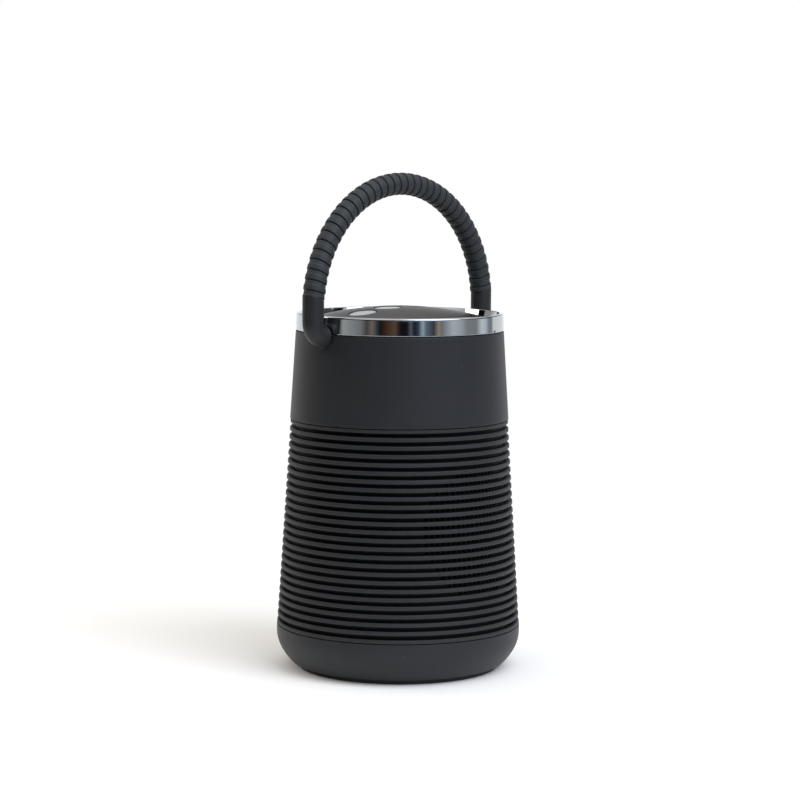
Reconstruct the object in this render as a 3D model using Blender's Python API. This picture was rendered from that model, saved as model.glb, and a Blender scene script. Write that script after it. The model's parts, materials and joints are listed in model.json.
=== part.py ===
"""Portable shower speaker: tapered ribbed can, chrome-rimmed control top and a swinging hose handle.

Frame: origin under the foot on the body axis, +Z up, the driver faces -Y and the handle turns about X.
"""
import math

import bmesh
import bpy
from mathutils import Matrix, Vector

mm = 0.001

# ---- overall body ------------------------------------------------------------------------------
BASE_H = 16.05 * mm          # floor to the seam between the base cup and the ribbed sleeve
SLEEVE_H = 76.4 * mm         # seam to seam
SHELL_H = 32.85 * mm         # upper seam to the chrome ring
SKIN_R_LOW = 45.25 * mm      # outer radius at the lower seam
TAPER = 6.8 * mm             # how much smaller the radius is under the chrome ring
SEAM = 0.3 * mm              # clearance between pieces that meet
OVERRUN = 1.0 * mm           # how far cutting tools run past a face
SEGMENTS = 32                # facets round the body

# ---- base cup ----------------------------------------------------------------------------------
CUP_WALL = 2.4 * mm
CUP_FLOOR_Z = 1.9 * mm       # underside of the cup floor
CUP_FLOOR_T = 2.4 * mm
CUP_CORNER_H = 12.0 * mm     # height of the rounded lower edge
CUP_CORNER_W = 6.6 * mm      # how far that edge draws in
CUP_CORNER_STEPS = 4
CUP_LIP_W = 1.2 * mm         # flat lip where the rounded edge ends
CUP_FLOOR_DISH = 0.4 * mm
SPIGOT_H = 3.6 * mm          # overlap of the spigots inside the sleeve
SPIGOT_T = 2.6 * mm
SEAL_T = 1.1 * mm            # seal ring section
SEAL_GROOVE = 0.9 * mm
SEAL_SET = 0.9 * mm          # groove edge to the seam
SEAL_PINCH = 0.2 * mm        # how much the seal is squeezed

# ---- foot --------------------------------------------------------------------------------------
FOOT_SET = 7.95 * mm         # foot edge inside the outer radius at the lower seam
FOOT_W = 10.3 * mm
FOOT_T = 2.6 * mm
FOOT_BEVEL = 0.4 * mm

# ---- ribbed sleeve -----------------------------------------------------------------------------
RIB_SET_TOP = 0.195 * mm     # crests inside the smooth skin at the upper seam
RIB_SET_LOW = 0.05 * mm      # crests inside the smooth skin at the lower seam
RIB_COUNT = 24
RIB_H = 1.56 * mm
RIB_DEPTH = 2.1 * mm
SLEEVE_WALL = 1.2 * mm       # wall left behind a groove
LIP_H = 1.35 * mm            # plain lips at both ends

# ---- sound opening and driver ------------------------------------------------------------------
PATCH_SET = 2.1 * mm         # edge of the round patch of openings inside the driver's edge
PATCH_MIN_HALF = math.radians(6.0)
MESH_T = 0.5 * mm
MESH_MARGIN = 2.5 * mm
DRIVER_R = 25.5 * mm
DRIVER_SETBACK = 2.6 * mm    # mounting face behind where the flange edge would meet the sleeve
FLANGE_T = 1.2 * mm
SURROUND_W = 3.2 * mm        # width of the rubber surround
SURROUND_SET = 4.5 * mm      # surround edge inside the driver's edge
GASKET_T = 0.8 * mm
CONE_DEPTH = 8.0 * mm
COIL_R = 6.5 * mm
MAGNET_R = 17.0 * mm
MAGNET_T = 9.0 * mm
BASKET_T = 0.9 * mm
CONE_T = 0.6 * mm
CONE_EDGE_T = 0.4 * mm
COIL_ROOM = 3.4 * mm         # basket floor opening beyond the coil
COIL_CLEAR = 1.6 * mm        # half width of the coil slot
SURROUND_ROLL = 1.5 * mm     # height of the surround's half roll
DRIVER_DEPTH = 16.0 * mm     # mounting face to the front of the magnet
DRIVER_SCREW_SET = 2.1 * mm  # screw axes inside the driver's edge
SCREW_SHANK_R = 1.0 * mm
SCREW_HEAD_R = 2.1 * mm
SCREW_HEAD_H = 1.3 * mm

# ---- inner chassis -----------------------------------------------------------------------------
CHASSIS_SET_LOW = 2.85 * mm  # chassis floor below the lower seam
CHASSIS_SET_TOP = 4.45 * mm  # chassis top below the upper seam
CHASSIS_GAP = 1.2 * mm       # clearance to the sleeve
CHASSIS_PLATE = 2.5 * mm
CHASSIS_FLOOR = 3.6 * mm
WIRE_HOLE_R = 4.0 * mm
WIRE_HOLE_Y = -14.0 * mm

# ---- upper shell, ring and top panel -----------------------------------------------------------
SHELL_WALL = 2.2 * mm
SHELL_BEVEL = 0.35 * mm
RING_H = 6.5 * mm
RING_SET = 0.2 * mm          # ring crest radius inside the skin under it
RING_WALL = 1.55 * mm        # at the crest
RING_LEAN = 1.25 * mm        # how far the inner wall leans in down to the gutter
RING_ROUND = 1.1 * mm
RING_BEVEL = 0.35 * mm
RING_SKIRT = 5.0 * mm
RING_SKIRT_T = 1.3 * mm
LEDGE_DEPTH = 4.7 * mm       # ledge for the panel, below the ring's crest
DOME_SET = 6.25 * mm         # dome edge inside the ring's crest
DOME_CROWN = 2.35 * mm       # dome apex above the ring's crest
DOME_RISE = 4.207 * mm       # dome apex above the dome's edge
DOME_T = 2.0 * mm
DOME_INSET = 0.8 * mm        # underside of the dome inside the rim
DOME_STEPS = 5
GUTTER_DEPTH = 3.2 * mm      # gutter floor below the ring's crest

# ---- buttons, keypad and control board ---------------------------------------------------------
BUTTON_COUNT = 4
BUTTON_R = 4.9 * mm
BUTTON_SPACE = 1.3 * mm      # between the retaining flanges of two buttons
BUTTON_GAP = 0.3 * mm
BUTTON_SINK = 0.25 * mm      # crown below the dome surface
BUTTON_LIP = 0.9 * mm        # retaining flange beyond the well
BUTTON_PLAY = 0.05 * mm      # extra play over the retaining flange
BUTTON_TRAVEL = 0.5 * mm
BUTTON_FOOT = 0.8 * mm       # underside of the buttons above the panel's ledge
MAT_CLEAR = 0.1 * mm         # left under a pressed button
MAT_T = 1.2 * mm
MAT_MARGIN = 0.6 * mm
SWITCH_W = 6.0 * mm
SWITCH_H = 1.6 * mm
BOARD_T = 1.6 * mm
BOARD_R = 28.0 * mm
BOARD_POST_Y = 20.0 * mm
POST_R = 2.7 * mm
POST_HOLE = 4.6 * mm         # depth of the screw hole in a post
BOARD_SCREW_L = 5.0 * mm

# ---- handle ------------------------------------------------------------------------------------
LEG_GAP = 1.8 * mm           # leg to the body at the ring
SPRING_RISE = 2.2 * mm       # spring line of the arch above the ring's crest
ARCH_H = 45.1 * mm           # rise of the arch centreline above its spring line
ELBOW_R = 3.9 * mm
ELBOW_FLARE = 0.35 * mm      # how much thicker the elbow is where it meets the shell
ELBOW_H = 14.5 * mm          # pivot axis to the top of the elbow
ELBOW_STEPS = 6
ELBOW_GAP = 0.45 * mm        # elbow end to the shell
GRIP_R = 4.1 * mm
GRIP_NECK_R = 3.6 * mm
GRIP_RINGS = 34
CORE_R = 1.6 * mm
CORE_GAP = 0.6 * mm          # hose bore to its core
CORE_INSERT = 5.0 * mm
CORE_STEPS = 20
PIN_R = 1.5 * mm
PIN_INSERT = 2.2 * mm
PIN_LENGTH = 10.0 * mm
BUSH_R = 2.6 * mm
CLIP_R = 2.4 * mm
CLIP_T = 0.8 * mm
CLIP_SET = 1.0 * mm          # clip from the inner end of the pin
BUSH_INSET = 0.1 * mm
GRIP_SIDES = 8
BORE_STEP = 6                # stations of the hose's skin per station of its bore

# ---- rear port ---------------------------------------------------------------------------------
PORT_DROP = 17.3 * mm        # port axis below the top of the shell
FLAP_W = 23.4 * mm
FLAP_H = 10.0 * mm
FLAP_T = 1.6 * mm
FLAP_INSET = 0.1 * mm        # cover below the shell's surface
PORT_GAP = 0.3 * mm
TRAY_T = 1.2 * mm
TRAY_MARGIN = 2.0 * mm
JACK_X = 5.6 * mm
USB_W = 8.9 * mm
USB_H = 3.2 * mm
AUX_R = 3.0 * mm
AUX_BORE_R = 1.8 * mm
JACK_L = 6.5 * mm
JACK_WALL = 0.5 * mm
JACK_BACK = 1.0 * mm
IO_BOARD_W = 26.0 * mm
IO_BOARD_H = 16.0 * mm

# ---- battery and main board --------------------------------------------------------------------
CELL_R = 9.2 * mm
CELL_L = 65.0 * mm
CELL_TIP = 1.2 * mm
CELL_TIP_R = 3.0 * mm
HOLDER_T = 1.6 * mm
BOARD_OFF = 1.2 * mm         # main board behind the holder
BOARD_WALL_GAP = 5.22 * mm   # main board to where its edges would meet the sleeve
BOARD_RAISE = 1.0 * mm
MAIN_BOARD_W = 40.0 * mm
MAIN_BOARD_H = 48.0 * mm

# ---- screws in the base ------------------------------------------------------------------------
BASE_SCREW_R = 22.0 * mm     # pitch radius
BASE_SCREW_COUNT = 4
BOSS_R = 3.6 * mm
COUNTERBORE = 1.5 * mm
SCREW_SHORT = 0.8 * mm       # screw tip short of the chassis floor's top

SEAM_LOW = BASE_H
SEAM_HIGH = SEAM_LOW + SLEEVE_H
SHELL_TOP = SEAM_HIGH + SHELL_H
RING_TOP = SHELL_TOP + RING_H
LEDGE_Z = RING_TOP - LEDGE_DEPTH
GUTTER_Z = RING_TOP - GUTTER_DEPTH
CHASSIS_LOW = SEAM_LOW - CHASSIS_SET_LOW
CHASSIS_HIGH = SEAM_HIGH - CHASSIS_SET_TOP
SKIN_R_TOP = SKIN_R_LOW - TAPER
RIB_R_LOW = SKIN_R_LOW - RIB_SET_LOW
RIB_R_TOP = SKIN_R_LOW - TAPER * SLEEVE_H / (SLEEVE_H + SHELL_H) - RIB_SET_TOP
FOOT_R = SKIN_R_LOW - FOOT_SET
FOOT_INNER_R = FOOT_R - FOOT_W
PATCH_R = DRIVER_R - PATCH_SET
DRIVER_SCREW_PITCH_R = DRIVER_R - DRIVER_SCREW_SET
SURROUND_R = DRIVER_R - SURROUND_SET
CONE_R = SURROUND_R - SURROUND_W
RING_R_TOP = SKIN_R_TOP - RING_SET
DOME_R = RING_R_TOP - DOME_SET
DOME_APEX_Z = RING_TOP + DOME_CROWN
DOME_SPHERE_R = DOME_R ** 2 / (2.0 * DOME_RISE)
BUTTON_PITCH = 2.0 * (BUTTON_R + BUTTON_LIP) + BUTTON_SPACE
BUTTON_FOOT_Z = LEDGE_Z + BUTTON_FOOT
PIVOT_Z = LEDGE_Z - CLIP_R
LEG_X = SKIN_R_TOP + LEG_GAP + ELBOW_R
ARCH_Z = RING_TOP + SPRING_RISE
ELBOW_TOP = PIVOT_Z + ELBOW_H
ELBOW_END_R = ELBOW_R + ELBOW_FLARE
BORE_R = CORE_R + CORE_GAP
PORT_Z = SHELL_TOP - PORT_DROP


def clear_scene():
    for item in list(bpy.data.objects):
        bpy.data.objects.remove(item, do_unlink=True)


def linear(channel):
    return channel / 12.92 if channel <= 0.04045 else ((channel + 0.055) / 1.055) ** 2.4


def material(name, colour, roughness, metallic=0.0):
    """Plain Principled material from an sRGB hex colour."""
    made = bpy.data.materials.get(name) or bpy.data.materials.new(name)
    made.use_nodes = True
    shader = made.node_tree.nodes["Principled BSDF"]
    rgb = [linear(int(colour[i:i + 2], 16) / 255) for i in (0, 2, 4)]
    shader.inputs["Base Color"].default_value = (*rgb, 1.0)
    shader.inputs["Roughness"].default_value = roughness
    shader.inputs["Metallic"].default_value = metallic
    made.diffuse_color = (*rgb, 1.0)
    return made


def skin_r(z):
    """Outer radius of the smooth tapered skin."""
    share = (z - SEAM_LOW) / (SHELL_TOP - SEAM_LOW)
    return SKIN_R_LOW + (SKIN_R_TOP - SKIN_R_LOW) * share


def crest_r(z):
    """Outer radius of the rib crests."""
    share = (z - SEAM_LOW) / (SEAM_HIGH - SEAM_LOW)
    return RIB_R_LOW + (RIB_R_TOP - RIB_R_LOW) * share


def sleeve_inner_r(z):
    return crest_r(z) - RIB_DEPTH - SLEEVE_WALL


def driver_y():
    """Mounting face of the driver: set back from where its flange edge would meet the sleeve."""
    inner = sleeve_inner_r(patch_centre_z())
    return DRIVER_SETBACK - math.sqrt(inner ** 2 - DRIVER_R ** 2)


def board_low():
    """Lower edge of the main board, raised off the chassis floor."""
    return CHASSIS_LOW + CHASSIS_FLOOR + SEAM + BOARD_RAISE


def board_y():
    """Front face of the main board, which hangs off the inside of the sleeve's back."""
    inner = sleeve_inner_r(board_low() + MAIN_BOARD_H)
    return math.sqrt(inner ** 2 - (MAIN_BOARD_W / 2.0) ** 2) - BOARD_WALL_GAP - BOARD_T


def cell_y():
    return board_y() - BOARD_OFF - HOLDER_T - SEAM - CELL_R


def dome_z(r, depth=0.0):
    """Height of the dome (or of a surface a given depth below it) at radius r."""
    return DOME_APEX_Z - depth - r * r / (2.0 * DOME_SPHERE_R)


def place(name, mesh, look, origin=(0.0, 0.0, 0.0), smooth=True):
    """Turn a bmesh in world coordinates into an object whose origin is the given point."""
    bmesh.ops.recalc_face_normals(mesh, faces=mesh.faces)
    mesh.transform(Matrix.Translation(-Vector(origin)))
    data = bpy.data.meshes.new(name)
    mesh.to_mesh(data)
    mesh.free()
    data.materials.append(look)
    if smooth:
        data.shade_smooth()
        data.set_sharp_from_angle(angle=math.radians(35.0))
    item = bpy.data.objects.new(name, data)
    item.location = origin
    bpy.context.collection.objects.link(item)
    return item


def lathe_mesh(profile, segments, matrix=None):
    """Closed solid turned about Z from a closed (radius, height) outline."""
    mesh = bmesh.new()
    rows = []
    for radius, height in profile:
        if radius < 1e-7:
            rows.append([mesh.verts.new((0.0, 0.0, height))])
            continue
        turn = [2.0 * math.pi * i / segments for i in range(segments)]
        rows.append([mesh.verts.new((radius * math.cos(a), radius * math.sin(a), height)) for a in turn])
    for upper, lower in zip(rows, rows[1:] + rows[:1]):
        for i in range(segments):
            j = (i + 1) % segments
            corners = [upper[i % len(upper)], upper[j % len(upper)]]
            corners += [lower[j % len(lower)], lower[i % len(lower)]]
            ring = list(dict.fromkeys(corners))
            if len(ring) > 2:
                mesh.faces.new(ring)
    if matrix is not None:
        mesh.transform(matrix)
    return mesh


def lathe(name, profile, look, segments=SEGMENTS, matrix=None, origin=(0.0, 0.0, 0.0)):
    return place(name, lathe_mesh(profile, segments, matrix), look, origin)


def box_mesh(low, high):
    mesh = bmesh.new()
    bmesh.ops.create_cube(mesh, size=1.0)
    size = [b - a for a, b in zip(low, high)]
    middle = [(a + b) / 2.0 for a, b in zip(low, high)]
    mesh.transform(Matrix.Translation(middle) @ Matrix.Diagonal((*size, 1.0)))
    return mesh


def merged(pieces):
    """One bmesh that holds several separate closed shells, for a cutter."""
    whole = bmesh.new()
    for piece in pieces:
        data = bpy.data.meshes.new("part")
        piece.to_mesh(data)
        piece.free()
        whole.from_mesh(data)
        bpy.data.meshes.remove(data)
    return whole


def boolean(target, mesh, operation="DIFFERENCE"):
    """Cut a target with a hidden tool, or join the tool to it."""
    tool = place(target.name + "_tool_" + str(len(target.modifiers)), mesh, target.data.materials[0])
    tool.hide_render = True
    tool.hide_viewport = False
    tool.display_type = "WIRE"
    step = target.modifiers.new("shape", "BOOLEAN")
    step.operation = operation
    step.solver = "EXACT"
    step.object = tool
    return target


def rod_mesh(radius, start, end, sides=16):
    """Plain cylinder between two points."""
    a, b = Vector(start), Vector(end)
    turn = (b - a).to_track_quat("Z", "Y").to_matrix().to_4x4()
    outline = [(0.0, (b - a).length), (radius, (b - a).length), (radius, 0.0), (0.0, 0.0)]
    return lathe_mesh(outline, sides, Matrix.Translation(a) @ turn)


def facing(point, direction):
    """Matrix that puts a shape turned about Z at a point with its +Z along a direction."""
    turn = Vector(direction).to_track_quat("Z", "Y").to_matrix().to_4x4()
    return Matrix.Translation(point) @ turn


def tube_mesh(path, radii, bore, sides, bore_step=1, headings=None):
    """Hollow (or solid, with bore 0) tube along a path in the XZ plane; radii match the path."""
    mesh = bmesh.new()
    outer, inner = [], []
    for i, point in enumerate(path):
        ahead, behind = path[min(i + 1, len(path) - 1)], path[max(i - 1, 0)]
        along = headings[i] if headings else (ahead - behind).normalized()
        side = Vector((0.0, 1.0, 0.0))
        up = along.cross(side).normalized()
        ring = []
        for k in range(sides):
            angle = 2.0 * math.pi * k / sides
            ring.append(side * math.cos(angle) + up * math.sin(angle))
        outer.append([mesh.verts.new(point + spoke * radii[i]) for spoke in ring])
        if bore and (i % bore_step == 0 or i == len(path) - 1):
            inner.append([mesh.verts.new(point + spoke * bore) for spoke in ring])
    join_rings(mesh, outer)
    if not bore:
        mesh.faces.new(outer[0])
        mesh.faces.new(outer[-1])
        return mesh
    join_rings(mesh, inner)
    for end in (0, -1):
        join_rings(mesh, (outer[end], inner[end]))
    return mesh


def join_rings(mesh, rings):
    """Band of faces from each ring of vertices to the next."""
    for first, second in zip(rings, rings[1:]):
        for k in range(len(first)):
            m = (k + 1) % len(first)
            mesh.faces.new((first[k], first[m], second[m], second[k]))


def screw_mesh(head_at, direction, length, sides=10):
    """Pan-head screw whose head bears at a point and whose shank runs along a direction."""
    outline = [(0.0, length), (SCREW_SHANK_R, length), (SCREW_SHANK_R, 0.0), (SCREW_HEAD_R, 0.0)]
    outline += [(SCREW_HEAD_R, -0.6 * SCREW_HEAD_H), (0.6 * SCREW_HEAD_R, -SCREW_HEAD_H)]
    outline += [(0.0, -SCREW_HEAD_H)]
    return lathe_mesh(outline, sides, facing(head_at, direction))


def base_screw_places():
    quarter = 2.0 * math.pi / BASE_SCREW_COUNT
    for i in range(BASE_SCREW_COUNT):
        angle = quarter * (i + 0.5)
        yield BASE_SCREW_R * math.cos(angle), BASE_SCREW_R * math.sin(angle)


def cup_outline(low, top, groove, spigot):
    """Outline of the base cup: rounded outside, foot seat, floor, and the spigot with its groove."""
    wide = skin_r(top)
    outer = [(wide, top)]
    for i in range(CUP_CORNER_STEPS + 1):
        turn = 0.5 * math.pi * i / (CUP_CORNER_STEPS + 0.9)
        height = low + CUP_CORNER_H * (1.0 - math.sin(turn))
        outer.append((wide - CUP_CORNER_W * (1.0 - math.cos(turn)), height))
    seat, seat_in, seat_z = FOOT_R + SEAM, FOOT_INNER_R - SEAM, FOOT_T + SEAM
    outer += [(outer[-1][0] - CUP_LIP_W, low), (seat, low), (seat, seat_z)]
    outer += [(seat_in, seat_z), (seat_in, low), (0.0, low)]
    floor = low + CUP_FLOOR_T
    inner = [(0.0, floor), (wide - CUP_CORNER_W - CUP_WALL, floor + CUP_FLOOR_DISH)]
    inner += [(wide - CUP_WALL, low + CUP_CORNER_H)]
    inner += [(wide - CUP_WALL, top - CUP_WALL), (spigot - SPIGOT_T, top - CUP_WALL)]
    lip = SEAM_LOW + SPIGOT_H
    inner += [(spigot - SPIGOT_T, lip), (spigot, lip), (spigot, groove[1])]
    inner += [(spigot - SEAL_GROOVE, groove[1]), (spigot - SEAL_GROOVE, groove[0]), (spigot, groove[0])]
    return outer + inner + [(spigot, top)]


def seal_ring(name, spigot, low, high, look):
    """Square-section ring lying in a spigot groove."""
    inside = spigot - SEAL_GROOVE + SEAM
    outside = inside + SEAL_T - SEAL_PINCH
    lathe(name, [(outside, high), (outside, low), (inside, low), (inside, high)], look)


def build_base(shell_look, rubber, steel, seal_look):
    """Cup with rounded lower edge, inner spigot, screw bosses, foot ring, seal and screws."""
    top, low = SEAM_LOW - SEAM / 2.0, CUP_FLOOR_Z
    spigot = sleeve_inner_r(SEAM_LOW + SPIGOT_H) - SEAM
    groove_low = SEAM_LOW + SEAL_SET
    groove = (groove_low, groove_low + SEAL_T + 2.0 * SEAM)
    cup = lathe("base_cup", cup_outline(low, top, groove, spigot), shell_look)
    bosses, holes = [], []
    boss_top, boss_low = CHASSIS_LOW - SEAM, low + CUP_FLOOR_T - OVERRUN / 2.0
    bearing = low + COUNTERBORE
    shank, head = SCREW_SHANK_R + SEAM, SCREW_HEAD_R + SEAM
    for x, y in base_screw_places():
        bosses.append(rod_mesh(BOSS_R, (x, y, boss_low), (x, y, boss_top), 12))
        stepped = [(0.0, boss_top + OVERRUN), (shank, boss_top + OVERRUN), (shank, bearing)]
        stepped += [(head, bearing), (head, low - OVERRUN), (0.0, low - OVERRUN)]
        holes.append(lathe_mesh(stepped, 10, Matrix.Translation((x, y, 0.0))))
    boolean(cup, merged(bosses), "UNION")
    boolean(cup, merged(holes))
    length = CHASSIS_LOW + CHASSIS_FLOOR - bearing - SCREW_SHORT
    for i, (x, y) in enumerate(base_screw_places()):
        mesh = screw_mesh((x, y, bearing - SEAM), (0.0, 0.0, 1.0), length)
        place("base_screw_%d" % (i + 1), mesh, steel)
    b = FOOT_BEVEL
    foot = [(FOOT_R, FOOT_T), (FOOT_R, b), (FOOT_R - b, 0.0), (FOOT_INNER_R + b, 0.0)]
    foot += [(FOOT_INNER_R, b), (FOOT_INNER_R, FOOT_T)]
    lathe("foot_ring", foot, rubber)
    seal_ring("base_seal", spigot, groove[0] + SEAM, groove[1] - SEAM, seal_look)


def rib_rows():
    """Groove list, top to bottom: (upper edge, lower edge) heights."""
    top = SEAM_HIGH - SEAM / 2.0 - LIP_H
    low = SEAM_LOW + SEAM / 2.0 + LIP_H
    pitch = (top - low + RIB_H) / (RIB_COUNT + 1)
    return [(top - pitch * g, top - pitch * g - (pitch - RIB_H)) for g in range(RIB_COUNT + 1)]


def patch_half_angle(height):
    """Half the angle that the round patch of openings spans at a height."""
    rows = rib_rows()
    centre = sum(rows[len(rows) // 2]) / 2.0
    inside = PATCH_R ** 2 - (height - centre) ** 2
    return math.sqrt(inside) / (crest_r(height) - RIB_DEPTH) if inside > 0.0 else 0.0


def patch_centre_z():
    rows = rib_rows()
    return sum(rows[len(rows) // 2]) / 2.0


def open_columns(height):
    """Facets round the body whose groove floor is open at a height."""
    half = patch_half_angle(height)
    if half <= PATCH_MIN_HALF:
        return set()
    step = 2.0 * math.pi / SEGMENTS
    front = 1.5 * math.pi
    return {i for i in range(SEGMENTS) if abs(step * (i + 0.5) - front) < half}


def sleeve_rows(columns):
    """Outline rows (radius, height, groove that starts there) of the sleeve's skin and its bore."""
    top, low = SEAM_HIGH - SEAM / 2.0, SEAM_LOW + SEAM / 2.0
    outer = [(crest_r(top), top, None)]
    inner = [(sleeve_inner_r(top), top, None)]
    for g, (upper, lower) in enumerate(rib_rows()):
        outer.append((crest_r(upper), upper, None))
        outer.append((crest_r(upper) - RIB_DEPTH, upper, g))
        outer.append((crest_r(lower) - RIB_DEPTH, lower, None))
        outer.append((crest_r(lower), lower, None))
        if columns[g]:
            inner.append((sleeve_inner_r(upper), upper, g))
            inner.append((sleeve_inner_r(lower), lower, None))
    outer.append((crest_r(low), low, None))
    inner.append((sleeve_inner_r(low), low, None))
    return outer, inner


def sleeve_vertices(mesh, rows, kept):
    """Rings of vertices; a row keeps only the columns asked for, except the first and last row."""
    step = 2.0 * math.pi / SEGMENTS
    rings = []
    for n, (radius, height, _) in enumerate(rows):
        ends = n in (0, len(rows) - 1)
        ring = []
        for i in range(SEGMENTS):
            point = (radius * math.cos(step * i), radius * math.sin(step * i), height)
            ring.append(mesh.verts.new(point) if ends or i in kept else None)
        rings.append(ring)
    return rings


def sleeve_wall(mesh, rows, rings, columns, i):
    """One facet column of a wall, left open where a slot goes through."""
    j = (i + 1) % SEGMENTS
    for n in range(len(rows) - 1):
        g = rows[n][2]
        if g is None or i not in columns[g]:
            mesh.faces.new((rings[n][i], rings[n][j], rings[n + 1][j], rings[n + 1][i]))


def line_slot(mesh, out_rings, in_rings, columns):
    """Upper, lower and end walls of one groove's slot, from the skin to the bore."""
    for i in columns:
        j = (i + 1) % SEGMENTS
        for out_ring, in_ring in zip(out_rings, in_rings):
            mesh.faces.new((out_ring[i], out_ring[j], in_ring[j], in_ring[i]))
        for end, beside in ((i, (i - 1) % SEGMENTS), (j, j)):
            if beside not in columns:
                mesh.faces.new((out_rings[0][end], out_rings[1][end], in_rings[1][end], in_rings[0][end]))


def build_sleeve(look):
    """Ribbed sleeve with slots through the groove floors over the driver."""
    columns = [open_columns((upper + lower) / 2.0) for upper, lower in rib_rows()]
    outer, inner = sleeve_rows(columns)
    used = set().union(*columns)
    edges = {k for i in used for k in (i, (i + 1) % SEGMENTS)}
    mesh = bmesh.new()
    skin = sleeve_vertices(mesh, outer, set(range(SEGMENTS)))
    bore = sleeve_vertices(mesh, inner, edges)
    for i in range(SEGMENTS):
        j = (i + 1) % SEGMENTS
        sleeve_wall(mesh, outer, skin, columns, i)
        if i in used:
            sleeve_wall(mesh, inner, bore, columns, i)
        else:
            left = [ring[i] for ring in bore if ring[i] is not None]
            right = [ring[j] for ring in bore if ring[j] is not None]
            mesh.faces.new(left + right[::-1])
        for end in (0, -1):
            mesh.faces.new((skin[end][i], skin[end][j], bore[end][j], bore[end][i]))
    for g, slots in enumerate(columns):
        if slots:
            o = next(n for n, row in enumerate(outer) if row[2] == g)
            q = next(n for n, row in enumerate(inner) if row[2] == g)
            line_slot(mesh, skin[o:o + 2], bore[q:q + 2], slots)
    place("ribbed_sleeve", mesh, look)


def build_acoustic_mesh(look):
    """Thin water-repellent screen behind the slots."""
    centre = patch_centre_z()
    reach = PATCH_R + MESH_MARGIN
    half = reach / sleeve_inner_r(centre)
    mesh = bmesh.new()
    count = 8
    layers = []
    for depth in (SEAM, SEAM + MESH_T):
        grid = []
        for height in (centre + reach, centre - reach):
            radius = sleeve_inner_r(height) - depth
            turn = [-0.5 * math.pi - half + 2.0 * half * i / count for i in range(count + 1)]
            grid.append([mesh.verts.new((radius * math.cos(a), radius * math.sin(a), height)) for a in turn])
        layers.append(grid)
    front, back = layers
    for i in range(count):
        mesh.faces.new((front[0][i], front[0][i + 1], front[1][i + 1], front[1][i]))
        mesh.faces.new((back[0][i], back[0][i + 1], back[1][i + 1], back[1][i]))
        mesh.faces.new((front[0][i], front[0][i + 1], back[0][i + 1], back[0][i]))
        mesh.faces.new((front[1][i], front[1][i + 1], back[1][i + 1], back[1][i]))
    for i in (0, count):
        mesh.faces.new((front[0][i], front[1][i], back[1][i], back[0][i]))
    place("acoustic_mesh", mesh, look)


def build_chassis(look):
    """C-shaped frame: floor on the cup bosses, flat driver baffle and a top plate."""
    top_r = sleeve_inner_r(CHASSIS_HIGH) - CHASSIS_GAP
    low_r = sleeve_inner_r(SEAM_LOW + SPIGOT_H) - SEAM - SPIGOT_T - CHASSIS_GAP
    outline = [(0.0, CHASSIS_HIGH), (top_r, CHASSIS_HIGH), (low_r, CHASSIS_LOW), (0.0, CHASSIS_LOW)]
    half_facet = Matrix.Rotation(math.pi / SEGMENTS, 4, "Z")
    frame = lathe("inner_chassis", outline, look, SEGMENTS, half_facet)
    reach = 2.0 * SKIN_R_LOW
    seat_y = driver_y()
    face_y = seat_y + GASKET_T + 2.0 * SEAM
    boolean(frame, box_mesh((-reach, -reach, 0.0), (reach, face_y, 2.0 * CHASSIS_HIGH)))
    back_y = face_y + CHASSIS_PLATE
    low_z = CHASSIS_LOW + CHASSIS_FLOOR
    high_z = CHASSIS_HIGH - CHASSIS_PLATE
    boolean(frame, box_mesh((-reach, back_y, low_z), (reach, reach, high_z)))
    centre = patch_centre_z()
    near, far = seat_y - 2.0 * OVERRUN, back_y + 2.0 * OVERRUN
    screw = SCREW_SHANK_R + SEAM
    holes = [rod_mesh(SURROUND_R + SEAM, (0.0, near, centre), (0.0, far, centre), 28)]
    for x, z in driver_screw_places():
        holes.append(rod_mesh(screw, (x, near, z), (x, far, z), 8))
    for x, y in base_screw_places():
        holes.append(rod_mesh(screw, (x, y, CHASSIS_LOW - OVERRUN), (x, y, low_z + OVERRUN), 8))
    start, end = (0.0, WIRE_HOLE_Y, high_z - OVERRUN), (0.0, WIRE_HOLE_Y, CHASSIS_HIGH + OVERRUN)
    holes.append(rod_mesh(WIRE_HOLE_R, start, end, 12))
    boolean(frame, merged(holes))


def driver_screw_places():
    centre = patch_centre_z()
    for i in range(4):
        angle = 0.25 * math.pi + 0.5 * math.pi * i
        yield DRIVER_SCREW_PITCH_R * math.cos(angle), centre + DRIVER_SCREW_PITCH_R * math.sin(angle)


def build_basket(look, out):
    """Pressed frame of the driver with its flange and screw holes."""
    wall = BASKET_T
    hole = SURROUND_R - CONE_EDGE_T
    floor = -DRIVER_DEPTH + SEAM
    neck = COIL_R + COIL_ROOM
    basket = [(DRIVER_R, FLANGE_T), (DRIVER_R, 0.0), (hole, 0.0), (MAGNET_R, floor)]
    basket += [(neck, floor), (neck, floor + wall), (MAGNET_R - wall, floor + wall)]
    basket += [(hole - wall, CONE_EDGE_T), (hole - wall, FLANGE_T)]
    frame = lathe("driver_basket", basket, look, 24, out)
    seat = driver_y()
    near, far = seat - FLANGE_T - OVERRUN, seat + OVERRUN
    boolean(frame, merged([rod_mesh(SCREW_SHANK_R + SEAM, (x, near, z), (x, far, z), 8)
                           for x, z in driver_screw_places()]))


def build_magnet(look, out):
    """Ferrite magnet with the ring slot that the coil dips into."""
    back = -DRIVER_DEPTH - MAGNET_T
    slot_in, slot_out = COIL_R - COIL_CLEAR, COIL_R + COIL_CLEAR
    slot = -DRIVER_DEPTH - 0.7 * MAGNET_T
    body = [(0.0, -DRIVER_DEPTH), (slot_in, -DRIVER_DEPTH), (slot_in, slot), (slot_out, slot)]
    body += [(slot_out, -DRIVER_DEPTH), (MAGNET_R, -DRIVER_DEPTH), (MAGNET_R, back), (0.0, back)]
    lathe("driver_magnet", body, look, 24, out)


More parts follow.
